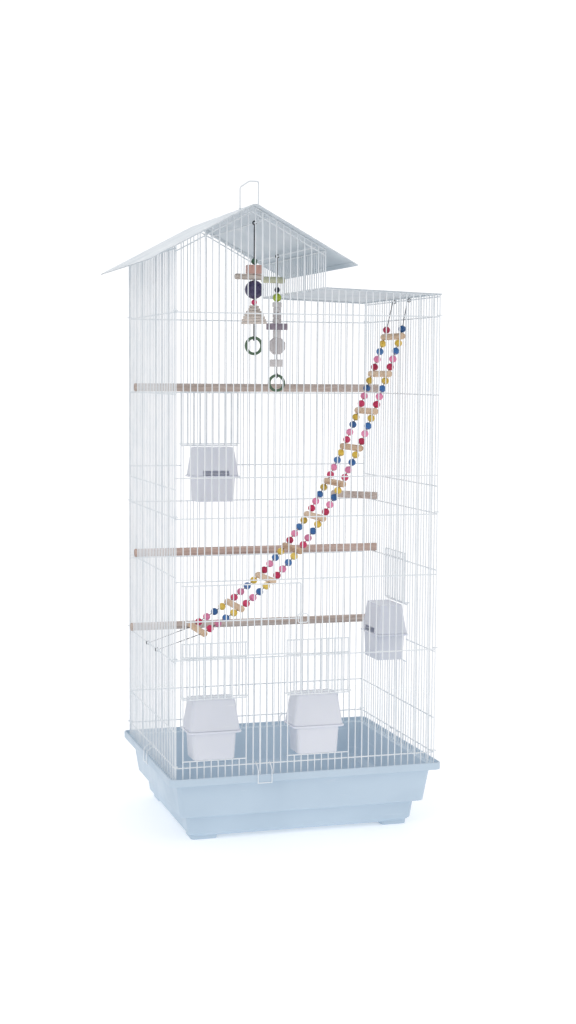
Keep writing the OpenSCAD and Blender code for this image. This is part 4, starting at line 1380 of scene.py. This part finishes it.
@dataclass
class Tray:
    """The deep moulded tray: a rim with a ledge, two drafted bands with a step, and four feet.

    Outside and inside are rows of half width, height and corner radius. A foot has a side, a corner radius
    and a height, and stands foot_in inside the bottom.
    """

    narrower: float = 40.0
    outside: Sequence[Point] = ((186, 6, 9), (192.5, 12, 9), (196, 40, 9), (209, 44, 9), (217, 100, 9),
                                (231, 100, 10), (231, 112, 10))
    inside: Sequence[Point] = ((228.5, 112, 7.5), (228.5, 106, 7.5), (214.5, 106, 6.5), (206.5, 46.5, 6.5),
                               (193.5, 42.5, 6.5), (185.5, 9, 6.5))
    edge: float = 1.3
    rim_worn: float = 0.6
    foot: tuple[float, float, float] = (44.0, 6.0, 6.0)
    foot_in: float = 1.0

    def skin(self) -> Skin:
        """Builds the tray: rounded rectangles follow the wall's outline up the outside and down the inside.

        Returns:
            The tray's skin.
        """
        wall = eased(np.array([*self.outside, *self.inside], float), self.edge, 4)
        profile = np.stack([wall[:, 0], wall[:, 0] - self.narrower, wall[:, 2], wall[:, 1]], -1)
        base, top = self.outside[0][0], self.outside[-1][1]
        rim = np.abs(wall[:, 1] - top) < self.rim_worn
        skin = Skin().add(stacked(profile, 8), wear=rim.astype(float))
        side, corner, height = self.foot
        height += self.foot_in
        for sx in (-1, 1):
            for sy in (-1, 1):
                spot = (sx * (base - side / 2), sy * (base - self.narrower - side / 2), height / 2)
                skin.add(block((side, side, height), edge=0.9, corner=corner) + np.asarray(spot, float))
        return skin

    def build(self, shop: Workshop) -> None:
        """Builds the tray and dresses it in pale blue plastic."""
        shop.place("tray_shell", self.skin(), TRAY, "cage", "base_tray")


@dataclass
class TrayClip:
    """A bent wire that hangs on the lowest level wire and hooks under the tray's rim.

    Its two arms stand half a width to either side of its place on the face. Turn says from which angle to
    which the eye goes round the level wire.
    """

    name: str
    face: Face
    place: float
    half: float
    body: str
    radius: float = 0.8
    eye: float = 2.51
    level: float = 128.0
    out: float = -12.1
    bend_z: float = 120.0
    hook_z: float = 98.3
    reach: float = 1.6
    bend: float = 1.0
    turn: tuple[float, float] = (75.0, -180.0)

    def build(self, shop: Workshop) -> None:
        """Builds the clip as one wire, from eye to eye, and dresses it in powder coat."""
        angle = np.radians(np.linspace(*self.turn, 16))
        eye = np.stack([0 * angle, self.eye * np.cos(angle), self.level + self.eye * np.sin(angle)], -1)
        arm = [(0, self.out, self.bend_z), (0, self.out, self.hook_z),
               (0, self.out + self.reach, self.hook_z)]
        left = np.concatenate([eye, arm]) - [self.half, 0, 0]
        path = np.concatenate([left, (left * [-1, 1, 1])[::-1]]) + [self.place, 0, 0]
        corners = len(eye) - 1
        bends = eased(path[corners:-corners], self.bend, 3)
        line = np.concatenate([path[:corners], bends, path[-corners:]])
        skin = Skin().add(self.face(carried(line, self.radius, 8)))
        shop.place(f"tray_{self.name}", skin, WIRE, self.body, self.name)


@dataclass
class Feeder:
    """A drafted cup under a wide flange, and a drafted hood over it with a low slot on the birds' side.

    The cup's and the hood's foot, mouth, rim and top are half sizes along and across the face.
    """

    letter: str
    face: Face
    hole: Hole
    flange: tuple[float, float, float] = (88.0, 60.0, 3.0)
    cup_foot: tuple[float, float] = (34.0, 24.0)
    cup_mouth: tuple[float, float] = (36.0, 26.0)
    hood_rim: tuple[float, float] = (42.0, 28.0)
    hood_top: tuple[float, float] = (35.0, 21.0)
    slot: Point = (48.0, 60.0, 12.0)
    slot_place: Point = (0.0, 30.0, 3.0)
    wall: float = 1.6
    out: float = 7.0
    corner: float = 6.0
    edge: float = 1.4

    def _at(self, rings: Array, height: float) -> Array:
        """Rings made about the feeder's own middle, put in the opening."""
        middle_x = (self.hole.left + self.hole.right) / 2
        middle = (middle_x, self.flange[1] / 2 - self.out, self.hole.sill + SEAT + height)
        return self.face(rings + np.asarray(middle, float))

    def _row(self, half: Point, height: float, wall: float = 0.0) -> Point:
        """A row of a profile: the half sizes and the corner radius, drawn in by a wall, and the height."""
        return half[0] - wall, half[1] - wall, self.corner - wall, height

    def _shell(self, line: Sequence[Point], height: float) -> Skin:
        """A skin of rounded rectangles along a profile whose edges are eased."""
        profile = eased(np.array(line, float), self.edge, 4)
        return Skin().add(self._at(stacked(profile, 6), height))

    def cup(self) -> Skin:
        """Builds the cup: up the drafted wall, round the flange, and down the inside to the bottom.

        Returns:
            The cup's skin.
        """
        wide, deep, thick = self.flange
        flange, wall, under = (wide / 2, deep / 2), self.wall, CUP_HEIGHT - thick
        line = [self._row(self.cup_foot, 0), self._row(self.cup_mouth, under), self._row(flange, under),
                self._row(flange, CUP_HEIGHT), self._row(self.cup_mouth, CUP_HEIGHT, wall),
                self._row(self.cup_foot, wall, wall)]
        return self._shell(line, 0)

    def hood(self, shop: Workshop) -> bpy.types.Mesh:
        """Builds the hood: down the inside to the rim and up the outside, with the slot carved out.

        Returns:
            The hood's mesh.
        """
        height, wall = CUP_HEIGHT + LID_GAP, self.wall
        line = [self._row(self.hood_top, HOOD_HEIGHT - wall, wall), self._row(self.hood_rim, 0, wall),
                self._row(self.hood_rim, 0), self._row(self.hood_top, HOOD_HEIGHT)]
        slot = block(self.slot, edge=0.8, corner=1.2) + np.asarray(self.slot_place, float)
        name = f"hood_{self.letter}_shell"
        shell = shop.mesh(name, self._shell(line, height))
        return carved(shell, shop.mesh(name + "_tool", Skin().add(self._at(slot, height))))

    def build(self, shop: Workshop) -> None:
        """Builds the cup and the hood, and dresses them in white plastic."""
        body = f"feeder_{self.letter}"
        shop.place(f"cup_{self.letter}_shell", self.cup(), FEEDER, body, f"cup_{self.letter}")
        shop.place(f"hood_{self.letter}_shell", self.hood(shop), FEEDER, body, f"hood_{self.letter}")


# Perches, ladder and toys


@dataclass
class Perch:
    """A wooden rod that lies on level wires, with a slot in each end for an upright.

    Its ends stand past the start and the end, which are the places of the uprights in x and y.
    """

    node: str
    start: tuple[float, float]
    end: tuple[float, float]
    radius: float
    level: float
    wood: BareWood = PERCH
    past: float = 2.9
    slot_deep: float = 6.4
    slot_wide: float = 2.4

    def build(self, shop: Workshop) -> None:
        """Builds the rod, carves its slots and dresses it in wood."""
        a, b = np.array([*self.start, 0.0]), np.array([*self.end, 0.0])
        length = float(np.linalg.norm(b - a)) + 2 * self.past
        middle = (a + b) / 2 + [0, 0, self.level + BODY.level + BODY.fit + self.radius]
        rod = Skin().add(aimed(dowel(self.radius, length, edge=0.8, sides=28), b - a, middle))
        turn = np.degrees(np.arctan2(b[1] - a[1], b[0] - a[0]))
        cut = block((2 * self.slot_deep, self.slot_wide, 3 * self.radius), edge=0.3)
        tool = Skin()
        for way in (-1, 1):
            tool.add(spun(cut + [way * length / 2, 0, 0], turn, middle))
        mesh = carved(shop.mesh(self.node + "_rod", rod), shop.mesh(self.node + "_tool", tool))
        shop.place(self.node + "_rod", mesh, self.wood, "cage", self.node)


@dataclass
class BeadLadder:
    """Rungs on two wires with beads between them, hung from the right wall's top down to the left wall.

    Guide, start and finish are in x and z, and the turns say from which angle to which an eye goes round.
    Hook_gaps and middle_gap are counted in gaps of the side.
    """

    rungs: int = 10
    rung_radius: float = 5.5
    rung_length: float = 96.0
    rung_end: float = 9.0
    bead_radius: float = 6.5
    bead_hole: float = 1.0
    bead_squash: float = 0.96
    bead_gap: float = 0.6
    beads: int = 4
    wire: float = 0.7
    eye: float = 2.814
    guide: Sequence[Point] = ((204, 820), (136, 627), (65, 430), (-142, 322))
    start: tuple[float, float] = (220.0, 881.2)
    finish: tuple[float, float] = (-220.0, 297.0)
    start_turn: tuple[float, float] = (-150.0, 180.0)
    finish_turn: tuple[float, float] = (0.0, 330.0)
    hook_gaps: Sequence[float] = (-3.5, 2.5)
    middle_gap: float = -0.6
    seed: int = 7

    def __post_init__(self) -> None:
        """Works out the rungs' places on the cubic curve of the four guide points."""
        t = np.linspace(0, 1, self.rungs)[:, None]
        a, b, c, d = (np.asarray(p, float) for p in self.guide)
        self.line = (1 - t) ** 3 * a + 3 * t * (1 - t) ** 2 * b + 3 * t**2 * (1 - t) * c + t**3 * d
        self.y = BODY.side_y(self.middle_gap)
        self.half = self.rung_length / 2 - self.rung_end
        self.rows = (self.y - self.half, self.y + self.half)

    def _lift(self, point: Point, y: float) -> Array:
        """A point of the ladder's side view at a depth."""
        return np.array([point[0], y, point[1]])

    def _eye(self, spot: Point, angles: Point, y: float) -> Array:
        """An eye of a core wire about a spot in the side view, from one angle to another."""
        turn = np.radians(np.linspace(*angles, 20))
        x, z = spot[0] + self.eye * np.cos(turn), spot[1] + self.eye * np.sin(turn)
        return np.stack([x, 0 * turn + y, z], -1)

    def wires(self) -> Skin:
        """Builds both core wires, each bent into an eye at both ends.

        Returns:
            The wires' skin.
        """
        skin = Skin()
        for gap, row in zip(self.hook_gaps, self.rows):
            hook = BODY.side_y(gap)
            first = self._eye(self.start, self.start_turn, hook)
            last = self._eye(self.finish, self.finish_turn, hook)
            between = np.array([self._lift(p, row) for p in self.line])
            sag = eased(np.concatenate([first[-1:], between, last[:1]]), 4, 3)[1:-1]
            skin.add(carried(np.concatenate([first, sag, last]), self.wire, 8))
        return skin

    def rung_skin(self, random: np.random.Generator) -> Skin:
        """Builds the rungs, which lie across both core wires at the places on the curve.

        Args:
            random: Where the rungs' shades come from.

        Returns:
            The rungs' skin.
        """
        rod = aimed(dowel(self.rung_radius, self.rung_length, edge=1.2), (0, 1, 0))
        places = np.array([self._lift(p, self.y) for p in self.line])
        return Skin().add(rod[None] + places[:, None, None], tone=random.random(self.rungs))

    def bead_places(self) -> list[tuple[int, Array, Array]]:
        """Returns: the colour number, the middle and the direction of each bead."""
        found = []
        for s, row in enumerate(self.rows):
            for k in range(self.rungs - 1):
                a, b = self._lift(self.line[k], row), self._lift(self.line[k + 1], row)
                along = (b - a) / np.linalg.norm(b - a)
                room = (np.linalg.norm(b - a) - 2 * self.rung_radius) / self.beads
                for j in range(self.beads):
                    found.append((j, a + (self.rung_radius + (j + 0.5) * room) * along, along))
            a = self._lift(self.line[0], row)
            b = self._lift((self.start[0] - self.eye, self.start[1]), BODY.side_y(self.hook_gaps[s]))
            along = (b - a) / np.linalg.norm(b - a)
            first = self.rung_radius + self.bead_radius + self.bead_gap
            found.append((2 * s + 1, a + first * along, along))
        return found

    def build(self, shop: Workshop) -> None:
        """Builds the wires, the rungs and the beads of each colour, and dresses them."""
        random = np.random.default_rng(self.seed)
        shop.place("ladder_core_wires", self.wires(), STEEL, "cage", "ladder_wires")
        shop.place("ladder_rung_rods", self.rung_skin(random), RUNG, "cage", "ladder_rungs")
        ball = threaded_ball(self.bead_radius, self.bead_hole, self.bead_squash)
        wear = np.zeros(len(ball))
        wear[[0, -4, -3, -2, -1]] = 1  # the lips and the hole
        colours = ((YELLOW, "yellow"), (BLUE, "blue"), (PINK, "pink"), (CRIMSON, "crimson"))
        for number, (finish, colour) in enumerate(colours):
            chosen = [(place, along) for tone, place, along in self.bead_places() if tone == number]
            rings = np.array([aimed(ball, along, place) for place, along in chosen])
            skin = Skin().add(rings, True, random.random(len(rings)), wear)
            shop.place(f"ladder_beads_{colour}", skin, finish, "cage", f"beads_{colour}")


@dataclass
class HangingToy:
    """A wire stem that hangs on a roof rail, with pieces of wood threaded on it and a ring in its lower eye.

    The pieces are stacked up from the stem's bare lower end, the tail, with a small gap between each two. The
    stem is straight from below its upper eye to above its lower one, and the turns say from which angle to
    which an eye goes round. Askew is how far a stick is turned about the stem, in degrees.
    """

    letter: str
    rail: tuple[float, float]
    y: float
    length: float
    tail: float
    gap: float = 0.5
    wire: float = 1.2
    rail_radius: float = WireBody.rail_radius
    ring: tuple[float, float] = (13.0, 2.4)
    straight: tuple[float, float] = (6.0, 3.0)
    rail_turn: tuple[float, float] = (-55.0, 270.0)
    ring_turn: tuple[float, float] = (90.0, 400.0)
    askew: float = 10.0
    parts: list[tuple[str, Finish, Array, bool]] = field(default_factory=list)

    def __post_init__(self) -> None:
        """Starts the stack over the bare end."""
        self.top = self.tail - self.length

    def thread(self, name: str, finish: Finish, height: float, rings: Array, wrap: bool = False) -> None:
        """Threads a piece of a height over the last one."""
        self.parts.append((name, finish, rings + [0, 0, self.top + height / 2], wrap))
        self.bare(height)

    def bare(self, height: float) -> None:
        """Leaves a stretch of the stem bare."""
        self.top += height + self.gap

    def slab(self, name: str, finish: Finish, size: Point, edge: float, turn: float = 0,
             corner: float | None = None) -> None:
        """Threads a block that is turned about the stem."""
        self.thread(name, finish, size[2], spun(block(size, edge, corner), turn))

    def stick(self, name: str, finish: Finish, radius: float, length: float, side: float) -> None:
        """Threads a stick that lies across the stem, with its middle to one side of it."""
        rings = aimed(dowel(radius, length, edge=1.2), (1, 0, 0), (side, 0, 0))
        self.thread(name, finish, 2 * radius, spun(rings, self.askew))

    def ball(self, name: str, finish: Finish, radius: float, sides: int = 16) -> None:
        """Threads a bead."""
        rings = threaded_ball(radius, self.wire + BODY.fit, sides=sides)
        self.thread(name, finish, 2 * radius, rings, True)

    @property
    def eye(self) -> float:
        """Radius of the lower eye, which goes round the ring's rod."""
        return self.ring[1] + BODY.fit + self.wire

    def _stem(self) -> Array:
        """The stem's line: an eye round the rail, straight down, and a small eye square to the first."""
        big, small, end = self.rail_radius + BODY.fit + self.wire, self.eye, -self.length
        top, low = (np.radians(np.linspace(*turn, 22)) for turn in (self.rail_turn, self.ring_turn))
        upper = np.stack([big * np.cos(top), 0 * top, big * np.sin(top)], -1)
        lower = np.stack([0 * low, small * np.cos(low), end - small + small * np.sin(low)], -1)
        under, over = self.straight
        return np.concatenate([upper, [[0, 0, -big - under]], [[0, 0, end + over]], lower])

    def build(self, shop: Workshop) -> None:
        """Builds the stem, the threaded pieces and the ring, and dresses them."""
        body = f"toy_{self.letter}"
        place = np.array([self.rail[0], self.y, self.rail[1]])
        stem = Skin().add(carried(self._stem(), self.wire, 10) + place)
        shop.place(f"{body}_stem", stem, STEEL, body, f"{body}_wire")
        random = np.random.default_rng(int(self.length))
        for name, finish in dict.fromkeys((name, finish) for name, finish, *_ in self.parts):
            skin = Skin()
            for label, _, rings, wrap in self.parts:
                if label == name:
                    skin.add(rings + place, wrap, float(random.random()))
            kind = "beads" if "bead" in name else "wood"
            shop.place(f"{body}_{name}", skin, finish, body, f"{body}_{kind}")
        drop = self.length + self.eye + self.ring[0]
        ring = hoops([place - [0, 0, drop]], (0, 1, 0), *self.ring, around=40, sides=14)
        shop.place(f"{body}_loop_ring", Skin().add(ring, wrap=True), MOSS, f"{body}_loop", f"{body}_ring")


def left_toy(rail: tuple[float, float]) -> HangingToy:
    """The left toy: a twist of slats, a small and a big bead, a stick, a rosy block and a green bead.

    Args:
        rail: X and height of its rail.

    Returns:
        The toy, ready to be built.
    """
    toy = HangingToy("a", rail, y=-105, length=180.4, tail=18.3)
    shorter, twist = 4.2, 14
    for i in range(7):
        toy.slab("slats", ASHEN, (44 - shorter * i, 10, 3.8), edge=0.9, turn=twist * (i - 3), corner=3.5)
    toy.ball("bead_small", CRIMSON, radius=4.7)
    toy.ball("bead_purple", PURPLE, radius=15.2, sides=28)
    toy.stick("stick", ASHEN, radius=4.7, length=49, side=-9)
    toy.slab("block_rosy", ROSY, (26, 13, 14), edge=1.4)
    toy.ball("bead_green", GREEN, radius=5.2)
    return toy


def right_toy(rail: tuple[float, float]) -> HangingToy:
    """The right toy: blocks, an octagon, a mauve crosspiece, a twist of cubes, two beads and a stick.

    Args:
        rail: X and height of its rail.

    Returns:
        The toy, ready to be built.
    """
    toy = HangingToy("b", rail, y=30, length=199, tail=11)
    toy.slab("blocks", GREYED, (23, 9, 12.4), edge=1.1)
    toy.bare(7.8)
    corner, angles = 15.6, np.radians(np.arange(8) * 45 + 22.5)
    inset, height = softened(half=3.5, edge=1.0).T
    eight = np.stack([np.outer(corner - inset, np.cos(angles)), np.outer(corner - inset, np.sin(angles)),
                      np.repeat(height[:, None], 8, 1)], -1)
    toy.thread("octagon", GREYED, 2 * corner * np.cos(np.pi / 8), aimed(eight, (0, 1, 0)))
    toy.slab("blocks", GREYED, (12, 11, 12), edge=1.1)
    toy.slab("crosspiece", MAUVE, (36, 10, 11), edge=1.1)
    for i in range(4):
        toy.slab("blocks", GREYED, (13, 11, 8.5), edge=1.1, turn=45 * i)
    toy.ball("bead_lime", LIME, radius=7.5)
    toy.ball("bead_dark", INK, radius=5)
    toy.bare(5.2)
    toy.stick("stick", STRAW, radius=5.5, length=42, side=-8)
    return toy


# Studio


@dataclass
class Studio:
    """A pale floor that fades into a brighter surround, soft light from large panels, and the camera.

    The eye is in millimetres, the focal length and the frame's height in pixels, and the rest in metres. A
    lamp has a name, a place, an aim, a size and a power in watts. Surround is the world's strength, first for
    other rays and then for the camera's.
    """

    eye: Point = (-788.0, -2652.0, 753.0)
    yaw: float = 16.92
    pitch: float = 4.84
    roll: float = 0.37
    focal: float = 1620.0
    frame_height: float = 1024.0
    fade: tuple[float, float] = (0.4, 1.5)
    floor_glow: float = 0.3
    surround: tuple[float, float] = (0.77, 1.15)
    sky: Point = (252, 252, 254)
    floor_shades: tuple[Point, Point] = ((247, 248, 249), (251, 251, 252))
    floor_radii: Sequence[float] = (0.001, 0.5, 1.5, 4.0, 10.0, 28.0)
    floor_sides: int = 96
    lamps: Sequence[tuple[str, Point, Point, float, float]] = (
        ("key_light", (-2.2, -2.4, 2.6), (0, 0, 0.5), 2.2, 17),
        ("fill_light", (2.8, -1.6, 1.6), (0, 0, 0.5), 2.4, 8),
        ("back_light", (0.6, 2.8, 2.4), (0, 0, 0.6), 2.4, 10),
    )

    def camera(self, shift: Point) -> None:
        """Sets the camera up, from its heading, its fall and its roll.

        Args:
            shift: Where the cage's own origin stands, in metres.
        """
        yaw, pitch, roll = np.radians([self.yaw, self.pitch, self.roll])
        ahead = np.array([np.sin(yaw) * np.cos(pitch), np.cos(yaw) * np.cos(pitch), -np.sin(pitch)])
        right = np.array([np.cos(yaw), -np.sin(yaw), 0.0])
        up = np.cross(right, ahead)
        right, up = np.cos(roll) * right + np.sin(roll) * up, np.cos(roll) * up - np.sin(roll) * right
        data = bpy.data.cameras.new("camera")
        data.sensor_width, data.sensor_fit = 36.0, "AUTO"
        data.lens = self.focal / self.frame_height * data.sensor_width
        data.clip_start, data.clip_end = 0.05, 200.0
        camera = bpy.data.objects.new("camera", data)
        turn = Matrix((right, up, -ahead)).transposed().to_4x4()
        camera.matrix_world = Matrix.Translation(np.asarray(self.eye) * MM + shift) @ turn
        bpy.context.scene.collection.objects.link(camera)
        bpy.context.scene.camera = camera

    def light(self, name: str, place: Point, aim: Point, size: float, power: float) -> None:
        """Hangs a large square light at a place, turned to a point."""
        data = bpy.data.lights.new(name, "AREA")
        data.size, data.energy = size, power
        lamp = bpy.data.objects.new(name, data)
        lamp.location = place
        lamp.rotation_mode = "QUATERNION"
        lamp.rotation_quaternion = (Vector(aim) - Vector(place)).to_track_quat("-Z", "Y")
        bpy.context.scene.collection.objects.link(lamp)

    def floor(self) -> None:
        """Lays the floor: a wide disc of pale matt paint with faint patches."""
        rings = turned([(radius, 0) for radius in self.floor_radii], self.floor_sides)
        index = np.arange(len(rings) * self.floor_sides).reshape(len(rings), -1)
        quads = np.stack([index[:-1], index[1:], np.roll(index[1:], -1, 1), np.roll(index[:-1], -1, 1)], -1)
        mesh = bpy.data.meshes.new("studio_floor")
        mesh.from_pydata(rings.reshape(-1, 3).tolist(), [], quads.reshape(-1, 4).tolist())
        mesh.update()
        bench = NodeBench("studio_floor_paint")
        dull, light = self.floor_shades
        colour = bench.shades(bench.noise(1.3, detail=2), [(0.3, dull), (0.7, light)])
        rough = bench.roughness(bench.noise(3, detail=3), (0.55, 0.7))
        reach = bench.nodes.new("ShaderNodeVectorMath")
        reach.operation = "LENGTH"
        bench.links.new(bench.place, reach.inputs[0])
        bench.links.new(bench.span(reach.outputs["Value"], *self.fade, (1, 0)), bench.shader.inputs["Alpha"])
        mesh.materials.append(bench.finish(colour, rough, bench.noise(60, detail=2), 0.0002,
                                           Emission_Strength=self.floor_glow))
        floor = bpy.data.objects.new("studio_floor", mesh)
        bpy.context.scene.collection.objects.link(floor)

    def glow(self) -> None:
        """Makes the pale surround, which is brighter to the camera than to other rays."""
        world = bpy.data.worlds.new("pale_surround")
        world.use_nodes = True
        nodes, links = world.node_tree.nodes, world.node_tree.links
        surround = nodes["Background"]
        surround.inputs["Color"].default_value = linear(self.sky)
        seen = nodes.new("ShaderNodeMapRange")
        seen.inputs["To Min"].default_value, seen.inputs["To Max"].default_value = self.surround
        links.new(nodes.new("ShaderNodeLightPath").outputs["Is Camera Ray"], seen.inputs["Value"])
        links.new(seen.outputs["Result"], surround.inputs["Strength"])
        bpy.context.scene.world = world

    def build(self, shift: Point) -> None:
        """Sets up the camera, the floor, the lights and the surround."""
        self.camera(shift)
        self.floor()
        for lamp in self.lamps:
            self.light(*lamp)
        bpy.context.scene.view_settings.view_transform = "Standard"
        self.glow()


def main() -> None:
    """Builds the cage from the tray up, then the studio, and reports each piece."""
    logging.basicConfig(level=logging.INFO, format="%(name)s: %(message)s")
    shop = Workshop()
    wires = WireBody()
    Tray().build(shop)
    levels = wires.side_levels
    front_clip, side_clip = BODY.front_x(BODY.post_at + 0.5), BODY.side_y(0.5)
    for name, face, place, half in (
        ("front", Face.FRONT, front_clip, BODY.pitch),
        ("back", Face.BACK, front_clip, BODY.pitch),
        ("left", Face.LEFT, side_clip, BODY.side_pitch),
        ("right", Face.RIGHT, side_clip, BODY.side_pitch),
    ):
        TrayClip(f"clip_{name}", face, place, half, f"{name}_clip").build(shop)
    wires.build(shop)
    Roofs().build(shop)
    CarryHandle().build(shop)
    MainDoor().build(shop)
    # Each small door hangs on the level wire over its feeder's opening.
    for letter, face, hole, pitch, rail, hooks in (
        ("a", Face.FRONT, HOLE_A, BODY.pitch, wires.front_levels[1], (1, 4, 7)),
        ("b", Face.FRONT, HOLE_B, BODY.pitch, wires.front_levels[1], (1, 4, 7)),
        ("c", Face.BACK, HOLE_C, BODY.pitch, wires.back_levels[6], (1, 4, 7)),
        ("d", Face.RIGHT, HOLE_D, BODY.side_pitch, levels[3], (1, 3, 6)),
    ):
        SlidingDoor(letter, face, hole, pitch, rail, hooks).build(shop)
        Feeder(letter, face, hole).build(shop)
    side_x, back_y = BODY.width / 2 - BODY.upright_y, BODY.depth / 2 - BODY.upright_y
    near, deep = BODY.side_y(10), BODY.side_y(13)
    for node, y, level, wood in (
        ("perch_top", near, levels[6], PERCH),
        # The middle perch takes the darker, redder copy of the wood: painted shade.
        ("perch_middle", near, levels[3], SHADED_PERCH),
        ("perch_low", deep, levels[2], PERCH),
    ):
        Perch(node, (-side_x, y), (side_x, y), radius=7, level=level, wood=wood).build(shop)
    corner = Perch("corner_perch", (BODY.front_x(33), back_y), (side_x, near), radius=6.5, level=levels[4])
    corner.build(shop)
    BeadLadder().build(shop)
    left_toy(wires.rail(0)).build(shop)
    right_toy(wires.rail(1)).build(shop)
    Studio().build(shop.shift)


if __name__ == "__main__":
    main()
